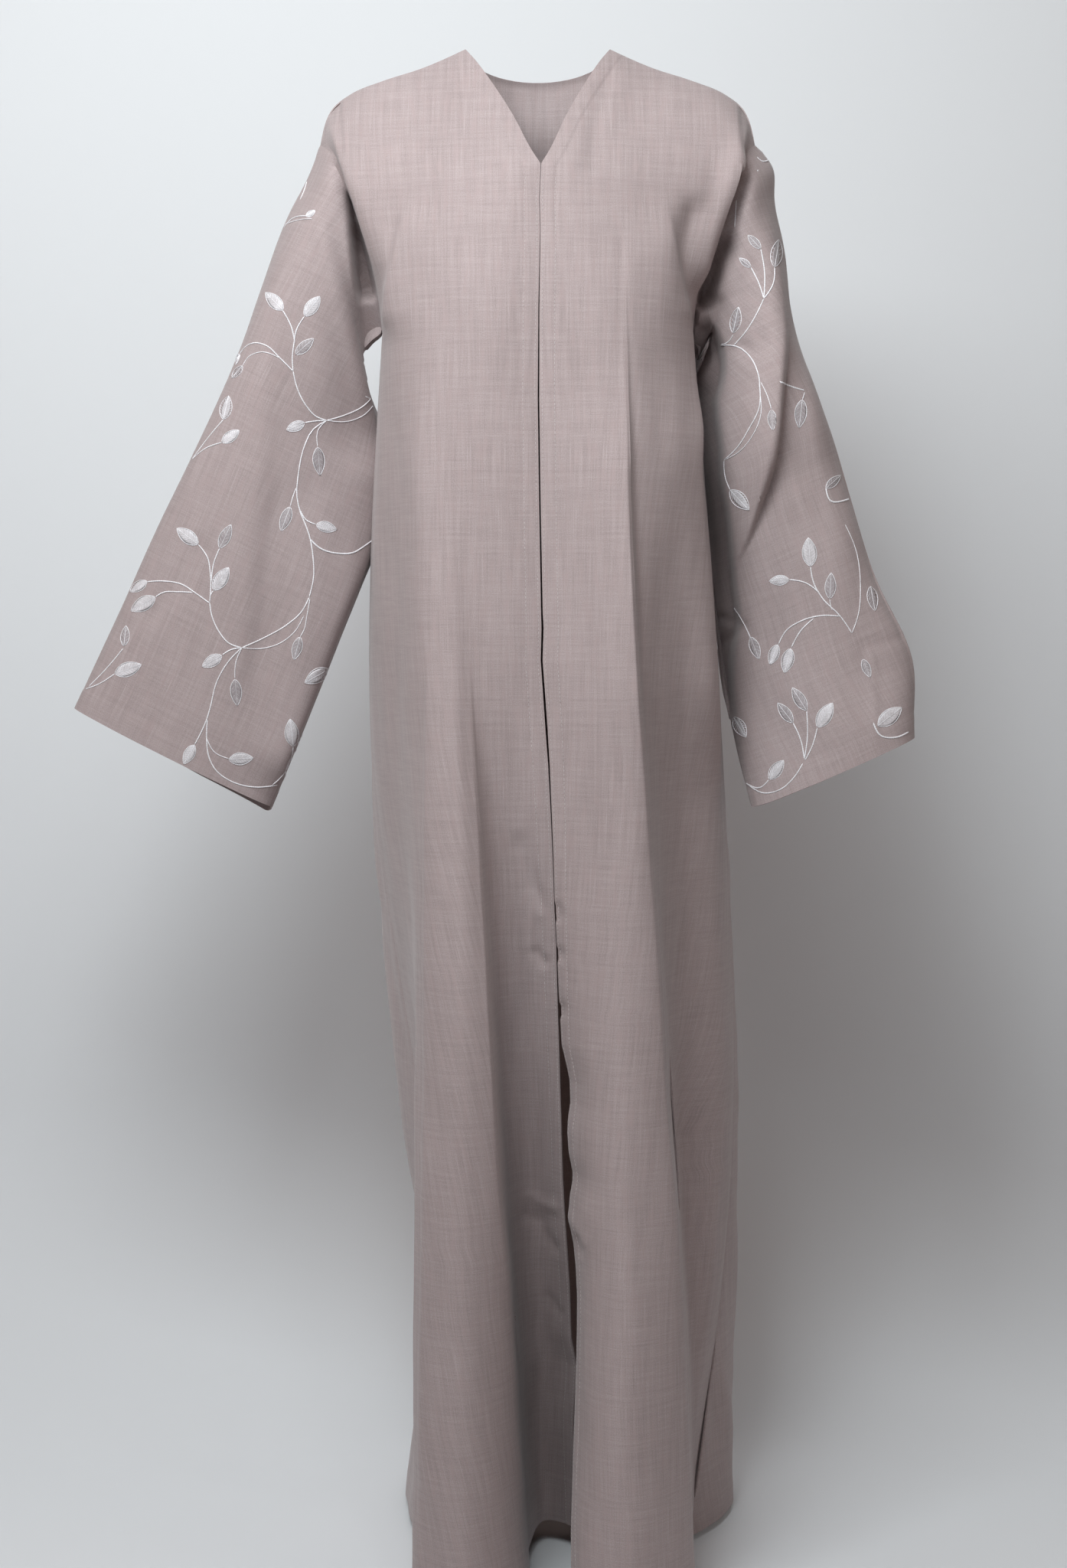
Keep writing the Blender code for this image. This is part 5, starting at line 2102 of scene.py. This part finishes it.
@dataclass(frozen=True)
class Studio:
    """The pale sweep, the lights and the view."""

    wall: float = 0.52
    floor: float = -1.460
    cove: float = 0.35
    cove_steps: int = 16
    half_width: float = 4.0
    height: float = 2.6
    front: float = -4.0
    room_colour: Colour = (1.0, 0.60, 0.50, 1.0)
    room_light: float = 0.03

    def sweep(self) -> None:
        """Makes the seamless floor and wall."""
        turn = np.linspace(-TURN / 4, 0.0, self.cove_steps + 1)
        bend = np.column_stack([
            self.wall - self.cove + self.cove * np.cos(turn),
            self.floor + self.cove + self.cove * np.sin(turn),
        ])
        profile = np.vstack([[self.front, self.floor], bend, [self.wall, self.height]])
        points = [(x, y, z) for y, z in profile for x in (-self.half_width, self.half_width)]
        faces = [(2 * i, 2 * i + 1, 2 * i + 3, 2 * i + 2) for i in range(len(profile) - 1)]
        mesh = bpy.data.meshes.new("sweep")
        mesh.from_pydata(points, [], faces)
        mesh.shade_smooth()
        mesh.materials.append(BackdropFinish().material())
        sweep = placed("sweep", mesh)
        sweep.visible_shadow = False

    def light(self, lamp: Lamp) -> None:
        """Adds a soft area light.

        Args:
            lamp: The light.
        """
        data = bpy.data.lights.new(lamp.name, "AREA")
        data.shape = "RECTANGLE"
        data.size, data.size_y = lamp.size
        data.energy = lamp.power
        data.color = lamp.colour
        stand = placed(lamp.name, data)
        stand.location = lamp.place
        stand.rotation_euler = (Vector(lamp.aim) - Vector(lamp.place)).to_track_quat("-Z", "Y").to_euler()

    def build(self) -> None:
        """Makes the sweep, the lights, the world and the camera."""
        self.sweep()
        for lamp in LAMPS:
            self.light(lamp)
        world = bpy.data.worlds.new("room")
        world.use_nodes = True
        sky = world.node_tree.nodes["Background"]
        sky.inputs["Color"].default_value = self.room_colour
        sky.inputs["Strength"].default_value = self.room_light
        bpy.context.scene.world = world
        bpy.context.scene.view_settings.view_transform = "Standard"
        VIEW.camera()


def report(grid: Grid, *made: bpy.types.Object) -> None:
    """Writes a sheet's area, and the triangles of its pieces, to the log.

    Args:
        grid: The sheet.
        made: Its cloth, and the pieces that are sewn on it.
    """
    log.info("%s: area %.3f", made[0].name, grid.area())
    for piece in made:
        triangles = sum(len(face.vertices) - 2 for face in piece.data.polygons)
        log.info("%s: %d triangles", piece.name, triangles)


def main() -> None:
    """Builds the cloak around its frame, then the studio."""
    logging.basicConfig(level=logging.INFO, format="%(message)s")
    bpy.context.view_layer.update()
    fronts = [
        FrontPanel(
            Side.RIGHT, 11, FRONT_RIGHT_RIBS, FRONT_RIGHT_CREASES, FRONT_RIGHT_RECESSES, RIGHT_EDGE_LINE,
            turns=(RIGHT_FLUTE, RIGHT_RIDGE), flat=(0.42, 1.46), cut_area=0.485,
        ),
        FrontPanel(
            Side.LEFT, 12, FRONT_LEFT_RIBS, FRONT_LEFT_CREASES, FRONT_LEFT_RECESSES, LEFT_EDGE_LINE,
            turns=(LEFT_FLUTE,), flat=(0.40, 1.46), cut_area=0.470,
        ),
    ]
    back = BackPanel(21, flat=(0.86, 1.46), cut_area=0.863)
    sleeves = [
        Sleeve(
            Side.RIGHT, 31, SLEEVE_RIGHT_STATIONS, (), SLEEVE_RIGHT_CREASES, SLEEVE_RIGHT_RECESSES,
            SLEEVE_RIGHT_STEMS, SLEEVE_RIGHT_LEAVES, SLEEVE_RIGHT_FULNESS,
            lean=math.radians(26.5), hem_drop=0.009, flat=(0.50, 0.64), cut_area=0.264,
        ),
        Sleeve(
            Side.LEFT, 32, SLEEVE_LEFT_STATIONS, LEFT_FOLD, SLEEVE_LEFT_CREASES, SLEEVE_LEFT_RECESSES,
            SLEEVE_LEFT_STEMS, SLEEVE_LEFT_LEAVES, SLEEVE_LEFT_FULNESS,
            lean=math.radians(23.9), hem_drop=0.0, flat=(0.50, 0.64), cut_area=0.246,
        ),
    ]
    for front in fronts:
        cloth, stitching = front.build(), front.stitch()
        report(front.grid, cloth, stitching)
    cloth = back.build()
    report(back.grid, cloth)
    for sleeve in sleeves:
        cloth, embroidery = sleeve.build(), sleeve.embroider()
        report(sleeve.grid, cloth, embroidery)
    Studio().build()


if __name__ == "__main__":
    main()
